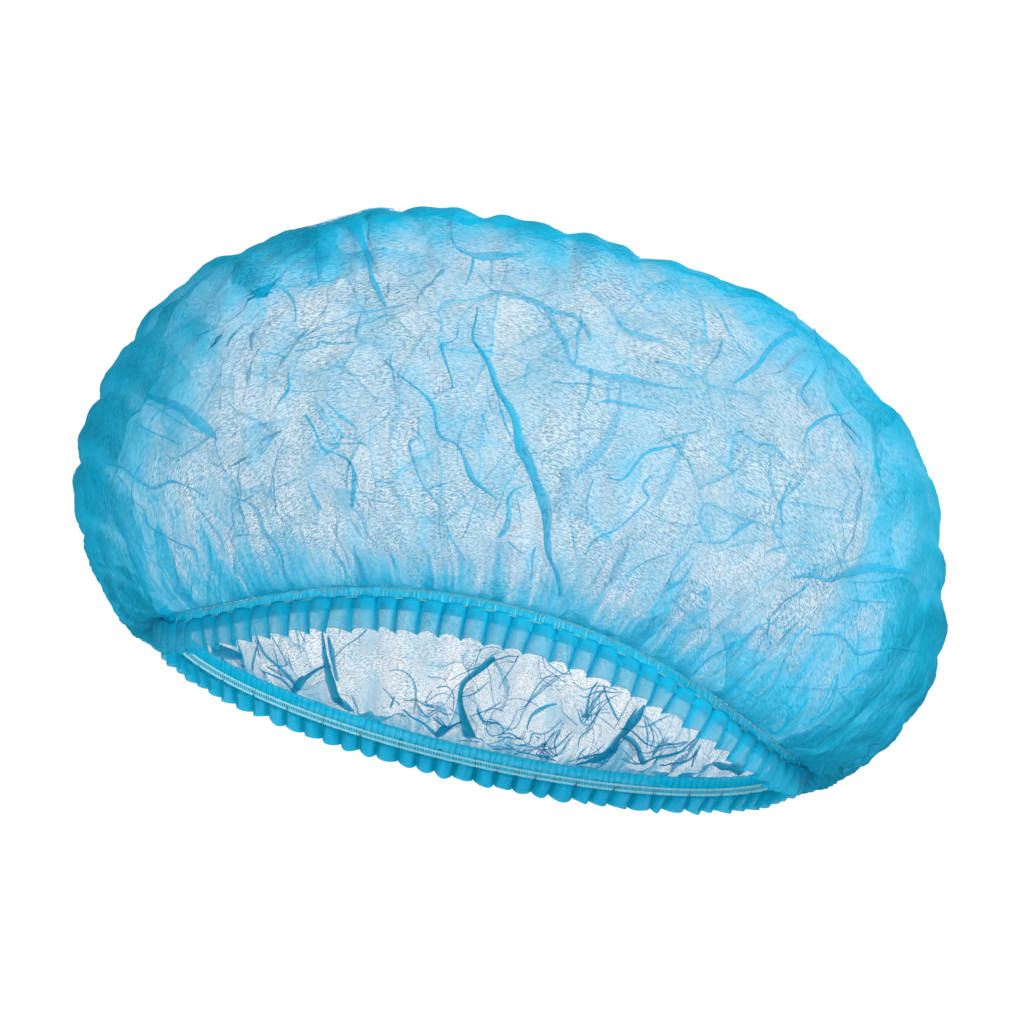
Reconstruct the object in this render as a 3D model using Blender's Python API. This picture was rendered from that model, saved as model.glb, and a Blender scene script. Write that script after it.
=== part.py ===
"""Bouffant cap held open at head size: a puffed crown of thin non-woven cloth, the stitched
elastic band round the head opening, and the frilled hem that hangs below the band.

Metres, +Z up. The origin is the middle of the head opening, level with the band's lower edge.
+X runs along the head from forehead to nape, and the side that is seen first faces -Y.
"""

import math
from collections import namedtuple

import bmesh
import bpy
from mathutils import Vector

# Head opening, measured inside the band
OPENING_LENGTH = 0.200
OPENING_WIDTH = 0.156

# Elastic band: the stitched tape and, above it, the turned-in strip of hem
BAND_HEIGHT = 0.0095
BAND_WALL = 0.0012
BAND_GATHER_DEPTH = 0.0007

# Frill below the band. FRILL_FULLNESS under 1 makes each gather a full, round one.
FRILL_DROP = 0.0093
FRILL_TAPER = 0.0040
FRILL_WALL = 0.0015
FRILL_DEPTH_TOP = 0.0009
FRILL_DEPTH_HEM = 0.0034
FRILL_FULLNESS = 0.8
GATHERS = 84

# Crown
CROWN_LENGTH = 0.2762
CROWN_WIDTH = 0.2100
CROWN_SHIFT = -0.0017
CROWN_START = 0.0046
WIDEST_HEIGHT = 0.0500
CROWN_TOP = 0.1445
CROWN_WALL = 0.0012
SIDE_SAG = 0.0130
ROUNDNESS = 2.24
GATHER_DEPTH = 0.0030
RIM_FLUTE_DEPTH = 0.0034
WALL_FLUTE_DEPTH = 0.0008
FOLD_DEPTH = 0.0050
FOLD_WIDTH = 0.0070

# Clearances
PIECE_GAP = 0.0003

# Mesh fineness. ROW_CROWDING is the share by which the crown's rows crowd towards the band.
BAND_STEPS_PER_GATHER = 2
FRILL_STEPS_PER_GATHER = 4
CROWN_ROWS = 22
ROW_CROWDING = 0.55

# The crown's wall from the band to its widest level. along is the share of that stretch, reach
# the share of the overhang past the band, rise the share of the way up to the widest level and
# sag the share of SIDE_SAG there.
Section = namedtuple("Section", "along reach rise sag")
LOWER_WALL = [
    Section(along=0.00, reach=0.00, rise=0.00, sag=0.00),
    Section(along=0.12, reach=0.12, rise=0.00, sag=0.62),
    Section(along=0.26, reach=0.32, rise=0.09, sag=1.00),
    Section(along=0.40, reach=0.52, rise=0.19, sag=0.92),
    Section(along=0.56, reach=0.72, rise=0.36, sag=0.76),
    Section(along=0.72, reach=0.88, rise=0.56, sag=0.50),
    Section(along=0.86, reach=0.97, rise=0.79, sag=0.22),
    Section(along=1.00, reach=1.00, rise=1.00, sag=0.00),
]
LOWER_SHARE = 0.30

# Where the flutes are deep, all as shares of the way from the band to the top: how far the
# gathers run up from the band, how far the rim flutes run to each side of the cap's front
# outline, and the stretch at the seam where flutes and creases fade in.
GATHER_REACH = 0.10
RIM_REACH = 0.17
SEAM_FADE = 0.08

# Where creases cross they don't add up past this share of FOLD_DEPTH, and they fade out within
# this share of the half width from the front outline.
MOST_CREASE = 1.2
OUTLINE_FADE = 0.25

# Main creases of the crown, each a straight run on one side of the cap. across is the share of
# the half length from the middle, up the share of the crown's height, depth the share of
# FOLD_DEPTH, width the share of FOLD_WIDTH. side -1 is the seen front, +1 the back.
Crease = namedtuple("Crease", "side across_1 up_1 across_2 up_2 depth width")
CREASES = [
    Crease(side=-1, across_1=-0.20, up_1=0.80, across_2=-0.08, up_2=0.55, depth=1.0, width=1.0),
    Crease(side=-1, across_1=-0.08, up_1=0.55, across_2=0.05, up_2=0.12, depth=0.8, width=0.9),
    Crease(side=-1, across_1=-0.55, up_1=0.85, across_2=-0.44, up_2=0.68, depth=0.7, width=0.8),
    Crease(side=-1, across_1=0.02, up_1=0.78, across_2=0.36, up_2=0.72, depth=0.8, width=0.8),
    Crease(side=-1, across_1=-0.42, up_1=0.62, across_2=-0.26, up_2=0.22, depth=0.6, width=0.8),
    Crease(side=-1, across_1=0.62, up_1=0.78, across_2=0.52, up_2=0.66, depth=0.6, width=0.8),
    Crease(side=-1, across_1=0.62, up_1=0.32, across_2=0.88, up_2=0.42, depth=0.7, width=0.8),
    Crease(side=-1, across_1=-0.92, up_1=0.42, across_2=-0.64, up_2=0.34, depth=0.7, width=0.8),
    Crease(side=1, across_1=-0.44, up_1=0.08, across_2=-0.40, up_2=0.34, depth=0.9, width=0.9),
    Crease(side=1, across_1=-0.02, up_1=0.06, across_2=0.06, up_2=0.32, depth=0.9, width=0.9),
    Crease(side=1, across_1=0.44, up_1=0.06, across_2=0.48, up_2=0.34, depth=0.9, width=0.9),
    Crease(side=1, across_1=-0.60, up_1=0.72, across_2=-0.20, up_2=0.46, depth=0.8, width=1.1),
    Crease(side=1, across_1=0.58, up_1=0.80, across_2=0.20, up_2=0.50, depth=0.8, width=1.1),
    Crease(side=1, across_1=-0.06, up_1=0.90, across_2=0.02, up_2=0.58, depth=0.7, width=1.0),
]

CYAN = (0.010, 0.376, 0.644, 1.0)
PALE_CYAN = (0.350, 0.680, 0.830, 1.0)


def clear_scene():
    for obj in list(bpy.context.scene.objects):
        bpy.data.objects.remove(obj, do_unlink=True)


def cloth_material(name, colour):
    material = bpy.data.materials.new(name)
    material.use_nodes = True
    shader = material.node_tree.nodes["Principled BSDF"]
    shader.inputs["Base Color"].default_value = colour
    shader.inputs["Roughness"].default_value = 0.85
    shader.inputs["Metallic"].default_value = 0.0
    return material


def add_object(name, mesh_data, material):
    """Turns a finished bmesh into one named, smooth-shaded object."""
    bmesh.ops.recalc_face_normals(mesh_data, faces=mesh_data.faces)
    mesh = bpy.data.meshes.new(name)
    mesh_data.to_mesh(mesh)
    mesh_data.free()
    mesh.materials.append(material)
    mesh.shade_smooth()
    mesh.set_sharp_from_angle(angle=math.radians(60))
    obj = bpy.data.objects.new(name, mesh)
    bpy.context.scene.collection.objects.link(obj)
    return obj


def join_sections(mesh_data, sections):
    """Joins closed outlines side by side into one closed ring."""
    for here, beyond in zip(sections, sections[1:] + sections[:1]):
        count = len(here)
        for corner in range(count):
            after = (corner + 1) % count
            mesh_data.faces.new((here[corner], here[after], beyond[after], beyond[corner]))


def swept_ring(name, columns, section_at, material):
    """A closed ring round the opening: section_at(turn) gives the outline of its wall."""
    mesh_data = bmesh.new()
    sections = []
    for step in range(columns):
        turn = 2 * math.pi * step / columns
        sections.append([mesh_data.verts.new(point) for point in section_at(turn)])
    join_sections(mesh_data, sections)
    return add_object(name, mesh_data, material)


def even_angle(turn):
    """The ellipse angle that spaces the gathers evenly along the head opening."""
    flatness = (OPENING_LENGTH - OPENING_WIDTH) / (OPENING_LENGTH + OPENING_WIDTH)
    return turn + flatness / 2 * math.sin(2 * turn)


def opening_point(angle, out, height):
    """A point that lies out past the inner face of the band, at this height."""
    return Vector((
        (OPENING_LENGTH / 2 + out) * math.cos(angle),
        (OPENING_WIDTH / 2 + out) * math.sin(angle),
        height,
    ))


def make_band(material):
    """The gathered casing of the elastic: a low fluted wall, one flute to each gather."""

    def section_at(turn):
        angle = even_angle(turn)
        gather = BAND_GATHER_DEPTH * (1 + math.cos(GATHERS * turn)) / 2
        outer = BAND_WALL + gather
        return [
            opening_point(angle, gather, 0.0),
            opening_point(angle, outer, 0.0),
            opening_point(angle, outer, BAND_HEIGHT),
            opening_point(angle, gather, BAND_HEIGHT),
        ]

    columns = GATHERS * BAND_STEPS_PER_GATHER
    return swept_ring("elastic_band", columns, section_at, material)


def make_frill(material):
    """The hem below the elastic: each gather swells out towards the hem, and it leans inwards."""

    def section_at(turn):
        angle = even_angle(turn)
        swell = abs(math.cos(GATHERS * turn / 2)) ** FRILL_FULLNESS
        top = FRILL_DEPTH_TOP * swell
        hem = FRILL_DEPTH_HEM * swell - FRILL_TAPER
        return [
            opening_point(angle, top, -PIECE_GAP),
            opening_point(angle, top + FRILL_WALL, -PIECE_GAP),
            opening_point(angle, hem + FRILL_WALL, -FRILL_DROP),
            opening_point(angle, hem, -FRILL_DROP),
        ]

    columns = GATHERS * FRILL_STEPS_PER_GATHER
    return swept_ring("ruffle", columns, section_at, material)


def lower_section(share):
    """The lower wall's section at this share of it, read smoothly between the table's rows."""
    row = 1
    while row < len(LOWER_WALL) - 1 and LOWER_WALL[row].along < share:
        row += 1
    before, after = LOWER_WALL[row - 1], LOWER_WALL[row]
    earlier = LOWER_WALL[max(row - 2, 0)]
    later = LOWER_WALL[min(row + 1, len(LOWER_WALL) - 1)]
    step = after.along - before.along
    blend = (share - before.along) / step

    def smooth(column):
        values = [getattr(section, column) for section in (earlier, before, after, later)]
        leave = (values[2] - values[0]) / (after.along - earlier.along) * step
        arrive = (values[3] - values[1]) / (later.along - before.along) * step
        return (
            values[1] * (1 + 2 * blend) * (1 - blend) ** 2
            + leave * blend * (1 - blend) ** 2
            + values[2] * blend ** 2 * (3 - 2 * blend)
            + arrive * blend ** 2 * (blend - 1)
        )

    return Section(share, smooth("reach"), smooth("rise"), smooth("sag"))


def crown_point(climb, angle):
    """The crown's smooth wall. climb runs from 0 at the band to 1 at the top of the cap."""
    reach = 1.0
    if climb >= LOWER_SHARE:
        turn = (climb - LOWER_SHARE) / (1 - LOWER_SHARE) * math.pi / 2
        reach = max(math.cos(turn), 0.0) ** (2 / ROUNDNESS)
    widest = Vector((
        CROWN_SHIFT + CROWN_LENGTH / 2 * reach * math.cos(angle),
        CROWN_WIDTH / 2 * reach * math.sin(angle),
        WIDEST_HEIGHT,
    ))
    if climb >= LOWER_SHARE:
        widest.z += (CROWN_TOP - WIDEST_HEIGHT) * math.sin(turn) ** (2 / ROUNDNESS)
        return widest
    section = lower_section(climb / LOWER_SHARE)
    seam = BAND_WALL + BAND_GATHER_DEPTH + PIECE_GAP
    point = opening_point(angle, seam, CROWN_START).lerp(widest, section.reach)
    point.z = CROWN_START + (WIDEST_HEIGHT - CROWN_START) * section.rise
    point.z -= SIDE_SAG * section.sag * abs(math.cos(angle)) ** 3
    return point


def crease_depth(point):
    """How far the creases push the wall in at this point."""
    inward = 0.0
    here = Vector((point.x - CROWN_SHIFT, point.z))
    for crease in CREASES:
        facing = crease.side * point.y / (CROWN_WIDTH / 2)
        if facing <= 0:
            continue
        start = Vector((crease.across_1 * CROWN_LENGTH / 2, crease.up_1 * CROWN_TOP))
        end = Vector((crease.across_2 * CROWN_LENGTH / 2, crease.up_2 * CROWN_TOP))
        run = end - start
        share = min(1.0, max(0.0, (here - start).dot(run) / run.length_squared))
        distance = (here - start - run * share).length
        width = crease.width * FOLD_WIDTH
        fade = min(1.0, facing / OUTLINE_FADE)
        inward += crease.depth * fade * math.exp(-((distance / width) ** 2))
    return FOLD_DEPTH * min(inward, MOST_CREASE)


def flute_depth(climb, from_outline):
    """How deep the flutes are: deep at the band and where they cross the front outline."""
    past_seam = min(1.0, climb / SEAM_FADE)
    at_band = GATHER_DEPTH * math.exp(-climb / GATHER_REACH)
    at_outline = RIM_FLUTE_DEPTH * math.exp(-((from_outline / RIM_REACH) ** 2))
    return past_seam * max(at_band, at_outline, WALL_FLUTE_DEPTH)


def crown_wall_points():
    """Rows of (outer point, inner point) for each flute line, which runs from the front of the
    band over the outline to the back of the band, and the two ends where the lines shrink to a
    point."""
    lines = []
    for column in range(GATHERS + 1):
        turn = math.pi - math.pi * column / GATHERS
        end = column in (0, GATHERS)
        line = []
        for row in range(1 if end else CROWN_ROWS + 1):
            even = 1 - 2 * row / CROWN_ROWS
            crowded = math.cos(math.pi * row / CROWN_ROWS)
            spacing = (1 - ROW_CROWDING) * even + ROW_CROWDING * crowded
            beside = 0.0 if end else -math.sin(turn) * spacing
            along = math.cos(turn)
            climb = max(0.0, 1 - math.hypot(along, beside))
            angle = even_angle(math.atan2(beside, along))
            line.append(dented(climb, angle, beside, column))
        lines.append(line)
    return lines


def dented(climb, angle, beside, column):
    """The outer and inner point of the wall, with its flute and creases."""
    nudge = 0.004
    here = crown_point(climb, angle)
    up = crown_point(min(climb + nudge, 1.0), angle) - crown_point(max(climb - nudge, 0.0), angle)
    across = crown_point(climb, angle + nudge) - crown_point(climb, angle - nudge)
    straight_up = Vector((0, 0, 1))
    normal = across.cross(up).normalized() if climb < 1 - nudge else straight_up
    valley = column % 2
    inward = flute_depth(climb, beside) * valley
    inward += crease_depth(here) * min(1.0, climb / SEAM_FADE)
    outer = here - normal * inward
    return outer, outer - normal * CROWN_WALL


def make_crown(material):
    """A dome of one wall, open below, made of flute lines laid side by side."""
    mesh_data = bmesh.new()
    lines = crown_wall_points()
    edges = []
    for side in range(2):
        wall = [[mesh_data.verts.new(pair[side]) for pair in line] for line in lines]
        cover_wall(mesh_data, wall)
        front_edge = [line[0] for line in wall]
        back_edge = [line[-1] for line in wall[1:-1]]
        edges.append(front_edge + back_edge[::-1])
    outer_edge, inner_edge = edges
    for step in range(len(outer_edge)):
        after = (step + 1) % len(outer_edge)
        mesh_data.faces.new(
            (outer_edge[step], outer_edge[after], inner_edge[after], inner_edge[step])
        )
    return add_object("crown", mesh_data, material)


def cover_wall(mesh_data, wall):
    """Fills one face of the wall, from each flute line to the next."""
    for here, beyond in zip(wall, wall[1:]):
        for row in range(CROWN_ROWS):
            corners = []
            for line, step in ((here, row), (here, row + 1), (beyond, row + 1), (beyond, row)):
                vertex = line[min(step, len(line) - 1)]
                if vertex not in corners:
                    corners.append(vertex)
            mesh_data.faces.new(corners)


def main():
    clear_scene()
    make_crown(cloth_material("crown_cloth", PALE_CYAN))
    make_band(cloth_material("band_cloth", CYAN))
    make_frill(cloth_material("ruffle_cloth", CYAN))


main()
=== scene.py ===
import math
from collections import namedtuple

import bpy
import numpy as np
from mathutils import Matrix, Vector
from mathutils.bvhtree import BVHTree
from mathutils.kdtree import KDTree


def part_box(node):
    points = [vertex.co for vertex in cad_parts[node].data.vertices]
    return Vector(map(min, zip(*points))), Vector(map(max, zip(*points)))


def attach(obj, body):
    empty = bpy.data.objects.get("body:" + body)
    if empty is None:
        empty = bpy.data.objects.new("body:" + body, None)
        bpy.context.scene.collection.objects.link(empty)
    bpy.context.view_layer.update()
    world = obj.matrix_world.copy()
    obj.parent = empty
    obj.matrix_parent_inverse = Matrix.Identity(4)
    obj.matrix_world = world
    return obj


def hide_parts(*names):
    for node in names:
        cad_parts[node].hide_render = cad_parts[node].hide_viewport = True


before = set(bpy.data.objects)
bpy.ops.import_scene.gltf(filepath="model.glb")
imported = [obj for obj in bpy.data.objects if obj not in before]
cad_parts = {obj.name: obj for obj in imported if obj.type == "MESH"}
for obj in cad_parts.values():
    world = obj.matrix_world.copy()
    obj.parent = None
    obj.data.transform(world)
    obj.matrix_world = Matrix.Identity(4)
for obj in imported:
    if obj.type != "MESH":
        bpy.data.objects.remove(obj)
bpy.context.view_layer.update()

# The cap's cloth: polypropylene spunbond of 14 g/m2, a felt of melted-together fibres so thin
# that one layer lets most of the light through. Where it lies in folds its blue adds up.
# Every piece of the cap is cut from it, so this section holds the one finish that they share.
THIN_RED = 0.050
DARKER_A_LAYER = 0.048
SPECK_SHADE = 0.62
LAYER_GLOW = 0.5
DARKER_FROM = 3.3
DARKEST = 0.55
FULL_COLOUR_FROM = 0.75
FULL_COLOUR_GAIN = 0.40
EVENING_POWER = -0.6
FIBRE_LENGTH = 0.0019
FIBRE_WIDTH = 0.00060
FIBRE_TURNS = (0.35, -0.5)
FIBRE_CONTRAST = 5.5
FIBRE_MIDDLE = 0.45
FIBRES_SHOWN = 0.9
FIBRES_HIDDEN = 0.8
MOTTLE_STRENGTH = 0.30
CREASE_CELL = 0.021
CREASE_LINE = 0.00040
CREASE_SHADE = 0.0032
SHADE_STRENGTH = 0.75
CREASE_WANDER = 0.010
CREASE_BEND = 0.03
FACET_SPREAD = 0.30

# Soft patches in the felt. Each is how far a noise rises above its start, times a factor.
Patches = namedtuple("Patches", "size detail roughness start times")
MOTTLE = Patches(size=0.012, detail=3.0, roughness=0.55, start=1 / 3, times=3.0)
MILKY = Patches(size=0.026, detail=2.0, roughness=0.5, start=0.5, times=2.4)
CREASED = Patches(size=0.045, detail=1.0, roughness=0.5, start=0.44, times=5.0)


def named_nodes(tree):
    """Returns a function that adds a node, sets its fields and joins or sets its inputs."""

    def add(kind, settings=None, **sockets):
        node = tree.nodes.new(kind)
        for field, value in (settings or {}).items():
            setattr(node, field, value)
        for socket, value in sockets.items():
            key = int(socket[1:]) if socket[0] == "i" and socket[1:].isdigit() else socket
            target = node.inputs[key.replace("_", " ") if isinstance(key, str) else key]
            if isinstance(value, bpy.types.NodeSocket):
                tree.links.new(value, target)
            else:
                target.default_value = value
        return node

    return add


def maths(add, operation, *values, clamp=False):
    """One Math node, with its values or links in order."""
    sockets = {"i%d" % index: value for index, value in enumerate(values)}
    node = add("ShaderNodeMath", {"operation": operation, "use_clamp": clamp}, **sockets)
    return node.outputs[0]


def patches(add, place, kind, clamp=True):
    """The strength of one kind of patch over the flat cloth."""
    noise = add("ShaderNodeTexNoise", {"noise_dimensions": "2D"}, Vector=place,
                Scale=1 / kind.size, Detail=kind.detail, Roughness=kind.roughness)
    return maths(add, "MULTIPLY_ADD", noise.outputs["Fac"], kind.times, -kind.times * kind.start,
                 clamp=clamp)


def wandering_place(add, place):
    """The place on the cloth, shifted a little to and fro so that creases bend and fork."""
    wander = add("ShaderNodeTexNoise", Vector=place, Scale=1 / CREASE_BEND, Detail=2.0)
    centred = add("ShaderNodeVectorMath", {"operation": "SUBTRACT"}, i0=wander.outputs["Color"],
                  i1=(0.5, 0.5, 0.5))
    scaled = add("ShaderNodeVectorMath", {"operation": "SCALE"}, i0=centred.outputs[0],
                 Scale=CREASE_WANDER)
    moved = add("ShaderNodeVectorMath", {"operation": "ADD"}, i0=place, i1=scaled.outputs[0])
    return moved.outputs[0]


def creases(add, place):
    """A web of creases: fine lines, each with a soft shade on one side where the cloth laps."""
    scale = 1 / CREASE_CELL
    settings = {"feature": "DISTANCE_TO_EDGE", "voronoi_dimensions": "2D"}
    place = wandering_place(add, place)
    away = add("ShaderNodeTexVoronoi", settings, Vector=place, Scale=scale).outputs["Distance"]
    cell = add("ShaderNodeTexVoronoi", {"voronoi_dimensions": "2D"}, Vector=place, Scale=scale)
    strong = add("ShaderNodeSeparateColor", i0=cell.outputs["Color"]).outputs[0]
    line = maths(add, "MULTIPLY_ADD", away, -CREASE_CELL / CREASE_LINE, 1.0, clamp=True)
    shade = maths(add, "MULTIPLY_ADD", away, -CREASE_CELL / CREASE_SHADE, 1.0, clamp=True)
    shade = maths(add, "MULTIPLY", shade, shade)
    shade = maths(add, "MULTIPLY", shade, maths(add, "MULTIPLY", strong, strong))
    return maths(add, "MULTIPLY_ADD", shade, SHADE_STRENGTH, line), strong


def spunbond(name, blue, cover, fibre_strength, crease_strength, patchiness, thin_share):
    """The cloth's finish. cover is what one layer takes out of the light behind it, and
    thin_share how bright a single layer is beside a thick fold. It also paints shade: the colour
    darkens in deep stacks of layers and along the felt's denser fibres."""
    material = bpy.data.materials.new(name)
    material.use_nodes = True
    tree = material.node_tree
    tree.nodes.clear()
    add = named_nodes(tree)
    place = add("ShaderNodeUVMap", {"uv_map": "cloth"}).outputs[0]
    layers = add("ShaderNodeAttribute", {"attribute_name": "layers"}).outputs["Fac"]

    streaks = []
    for turn in FIBRE_TURNS:
        laid = add("ShaderNodeMapping", Vector=place, Rotation=(0.0, 0.0, turn),
                   Scale=(1 / FIBRE_LENGTH, 1 / FIBRE_WIDTH, 1.0))
        noise = add("ShaderNodeTexNoise", {"noise_dimensions": "2D"}, Vector=laid.outputs[0],
                    Scale=1.0, Detail=2.0, Roughness=0.6)
        streaks.append(noise.outputs["Fac"])
    fibres = maths(add, "MAXIMUM", *streaks)
    fibres = maths(add, "MULTIPLY_ADD", fibres, FIBRE_CONTRAST, -FIBRE_CONTRAST / 2, clamp=True)
    mottle = patches(add, place, MOTTLE)
    milky = patches(add, place, MILKY, clamp=False)
    contrast = maths(add, "MULTIPLY_ADD", mottle, fibre_strength / 2, fibre_strength / 2)
    calm = maths(add, "MULTIPLY_ADD", milky, -FIBRES_HIDDEN, FIBRES_SHOWN, clamp=True)
    contrast = maths(add, "MULTIPLY", contrast, calm)
    fibres = maths(add, "MULTIPLY", maths(add, "SUBTRACT", fibres, FIBRE_MIDDLE), contrast)
    milky = maths(add, "MULTIPLY_ADD", milky, patchiness, fibres)
    felt = maths(add, "MULTIPLY_ADD", mottle, MOTTLE_STRENGTH, milky)
    evened = maths(add, "POWER", layers, EVENING_POWER)
    felt = maths(add, "MULTIPLY_ADD", felt, evened, 1.0)
    # Painted shade: the colour is darkened along the denser fibres, for the fine shadows in the
    # felt's relief.
    speck_shade = maths(add, "MULTIPLY", maths(add, "MULTIPLY", fibres, evened), -SPECK_SHADE)
    speck_shade = maths(add, "ADD", speck_shade, 1.0, clamp=True)

    line, facet = creases(add, place)
    line = maths(add, "MULTIPLY", line, patches(add, place, CREASED))
    facet = maths(add, "MULTIPLY_ADD", facet, FACET_SPREAD * crease_strength,
                  1 - FACET_SPREAD / 2 * crease_strength)
    felt = maths(add, "MULTIPLY", felt, facet)
    depth = maths(add, "MULTIPLY", layers, felt)
    depth = maths(add, "MULTIPLY_ADD", line, crease_strength, depth)
    clear = maths(add, "POWER", 1.0 - cover, depth)
    dense = maths(add, "SUBTRACT", 1.0, clear)
    full = maths(add, "MULTIPLY_ADD", depth, FULL_COLOUR_GAIN,
                 -FULL_COLOUR_GAIN * FULL_COLOUR_FROM, clamp=True)
    thin = (blue[0] + THIN_RED, blue[1] * thin_share, blue[2] * thin_share, 1.0)
    colour = add("ShaderNodeMix", {"data_type": "RGBA"}, i0=full, i6=thin, i7=blue)
    # Painted shade: past a little over three layers the colour darkens with each further layer, down
    # to a floor, for the shade deep in folds, tucks and flutes. The speck shade is multiplied in.
    painted_shade = maths(add, "MULTIPLY_ADD", depth, -DARKER_A_LAYER, 1 + DARKER_FROM * DARKER_A_LAYER,
                  clamp=True)
    painted_shade = maths(add, "MULTIPLY", maths(add, "MAXIMUM", painted_shade, DARKEST), speck_shade)
    colour = add("ShaderNodeVectorMath", {"operation": "SCALE"}, i0=colour.outputs[2], Scale=painted_shade)
    front = add("ShaderNodeBsdfPrincipled", Base_Color=colour.outputs[0], Roughness=0.72,
                Specular_IOR_Level=0.1)
    through = add("ShaderNodeBsdfTranslucent", Color=colour.outputs[0])
    lit = add("ShaderNodeMixShader", i0=LAYER_GLOW, i1=front.outputs[0], i2=through.outputs[0])
    seen_past = add("ShaderNodeBsdfTransparent")
    cloth = add("ShaderNodeMixShader", i0=dense, i1=seen_past.outputs[0], i2=lit.outputs[0])
    add("ShaderNodeOutputMaterial", Surface=cloth.outputs[0])
    return material


# The crown: one disc of that cloth, gathered all round its edge onto the elastic and puffed
# up. It came pressed flat in a pack, so it is crumpled all over, it stays pleated where the
# pack folded it, and some tucks lie three or more layers deep.
CROWN_BLUE = (0.004, 0.490, 0.730, 1.0)
GATHERS = 84
SEAM_GAP = 0.0003
SEAM_HEIGHT = 0.0036
FLAT_RADIUS = 0.250
WIDEST_HEIGHT = 0.0500
SIDE_SAG = 0.0130
FACE_LIFT = 0.0022
FRONT_DROP = 0.0066
FRONT_PULL = 0.0120
ROUNDNESS = 2.24
LOWER_SHARE = 0.30
SAG_PEAK = 0.617
FACING_FADE = 0.2
LONGER_HIGHER = 0.8
WAVE_LIMIT = 2.2
band_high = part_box("elastic_band")[1]
crown_low, crown_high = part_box("crown")
SEAM_LENGTH = band_high[0] + SEAM_GAP
SEAM_WIDTH = band_high[1] + SEAM_GAP
HALF_LENGTH = (crown_high[0] - crown_low[0]) / 2
HALF_WIDTH = (crown_high[1] - crown_low[1]) / 2
SHIFT = (crown_high[0] + crown_low[0]) / 2
CROWN_TOP = crown_high[2]

Section = namedtuple("Section", "along reach rise sag")
LOWER_WALL = [
    Section(along=0.00, reach=0.00, rise=0.00, sag=0.00),
    Section(along=0.12, reach=0.12, rise=0.00, sag=0.62),
    Section(along=0.26, reach=0.32, rise=0.09, sag=1.00),
    Section(along=0.40, reach=0.52, rise=0.19, sag=0.92),
    Section(along=0.56, reach=0.72, rise=0.36, sag=0.76),
    Section(along=0.72, reach=0.88, rise=0.56, sag=0.50),
    Section(along=0.86, reach=0.97, rise=0.79, sag=0.22),
    Section(along=1.00, reach=1.00, rise=1.00, sag=0.00),
]


def even_angle(turn):
    """The ellipse angle that spaces the gathers evenly along the head opening."""
    flatness = (SEAM_LENGTH - SEAM_WIDTH) / (SEAM_LENGTH + SEAM_WIDTH)
    return turn + flatness / 2 * np.sin(2 * turn)


def front_sag(angle):
    """How far the opening's front edge hangs between its middle and its corners, from 0 to 1.
    Pulled long at its two ends, the opening is a lens and not a true ellipse."""
    reach = np.cos(angle) ** 2
    return np.where(np.sin(angle) < 0, reach * np.sqrt(1 - reach ** 4) / SAG_PEAK, 0)


def lower_wall(share):
    """Reach, rise and sag of the wall below its widest level, read smoothly from the table."""
    along = np.array([row.along for row in LOWER_WALL])
    after = np.clip(np.searchsorted(along, share), 1, len(along) - 1)
    before = after - 1
    earlier = np.maximum(before - 1, 0)
    later = np.minimum(after + 1, len(along) - 1)
    step = along[after] - along[before]
    blend = (share - along[before]) / step
    columns = []
    for name in ("reach", "rise", "sag"):
        value = np.array([getattr(row, name) for row in LOWER_WALL])
        leave = (value[after] - value[earlier]) / (along[after] - along[earlier]) * step
        arrive = (value[later] - value[before]) / (along[later] - along[before]) * step
        columns.append(
            value[before] * (1 + 2 * blend) * (1 - blend) ** 2
            + leave * blend * (1 - blend) ** 2
            + value[after] * blend ** 2 * (3 - 2 * blend)
            + arrive * blend ** 2 * (blend - 1)
        )
    return columns


def crown_shape(climb, angle):
    """The puffed crown without its folds. climb runs from 0 at the band to 1 at the top."""
    over = np.clip((climb - LOWER_SHARE) / (1 - LOWER_SHARE), 0, 1) * math.pi / 2
    round_in = np.maximum(np.cos(over), 0) ** (2 / ROUNDNESS)
    wide_x = SHIFT + HALF_LENGTH * np.cos(angle)
    wide_y = HALF_WIDTH * np.sin(angle)
    upper = np.stack([
        SHIFT + (wide_x - SHIFT) * round_in,
        wide_y * round_in,
        WIDEST_HEIGHT + (CROWN_TOP - WIDEST_HEIGHT) * np.sin(over) ** (2 / ROUNDNESS),
    ], -1)
    share = np.clip(climb / LOWER_SHARE, 0, 1)
    reach, rise, sag = lower_wall(share)
    hang = front_sag(angle) * (1 - share) ** 2
    seam_x = SEAM_LENGTH * np.cos(angle)
    seam_y = SEAM_WIDTH * np.sin(angle)
    lower = np.stack([
        seam_x + (wide_x - seam_x) * reach,
        seam_y + (wide_y - seam_y) * reach + FRONT_PULL * hang,
        SEAM_HEIGHT + (WIDEST_HEIGHT - SEAM_HEIGHT) * rise - FRONT_DROP * hang
        + sag * (FACE_LIFT - (SIDE_SAG + FACE_LIFT) * np.abs(np.cos(angle)) ** 3),
    ], -1)
    return np.where((climb >= LOWER_SHARE)[:, None], upper, lower)


def disc_places(cells):
    """A square grid of this many cells a side, carried onto a disc of radius 1."""
    steps = np.linspace(-1, 1, cells + 1)
    across, along = np.meshgrid(steps, steps, indexing="ij")
    wide = np.abs(across) > np.abs(along)
    far = np.where(wide, across, along)
    near = np.where(wide, along, across)
    slope = np.divide(near, far, out=np.zeros_like(far), where=far != 0)
    turn = np.where(wide, slope * math.pi / 4, math.pi / 2 - slope * math.pi / 4)
    return (far * np.cos(turn)).ravel(), (far * np.sin(turn)).ravel()


def grid_normals(points, cells):
    """Outward normals of a grid of points."""
    grid = points.reshape(cells + 1, cells + 1, 3)
    one, other = np.gradient(grid, axis=0), np.gradient(grid, axis=1)
    normals = np.cross(one, other).reshape(-1, 3)
    return normals / np.maximum(np.linalg.norm(normals, axis=1), 1e-12)[:, None]


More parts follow.
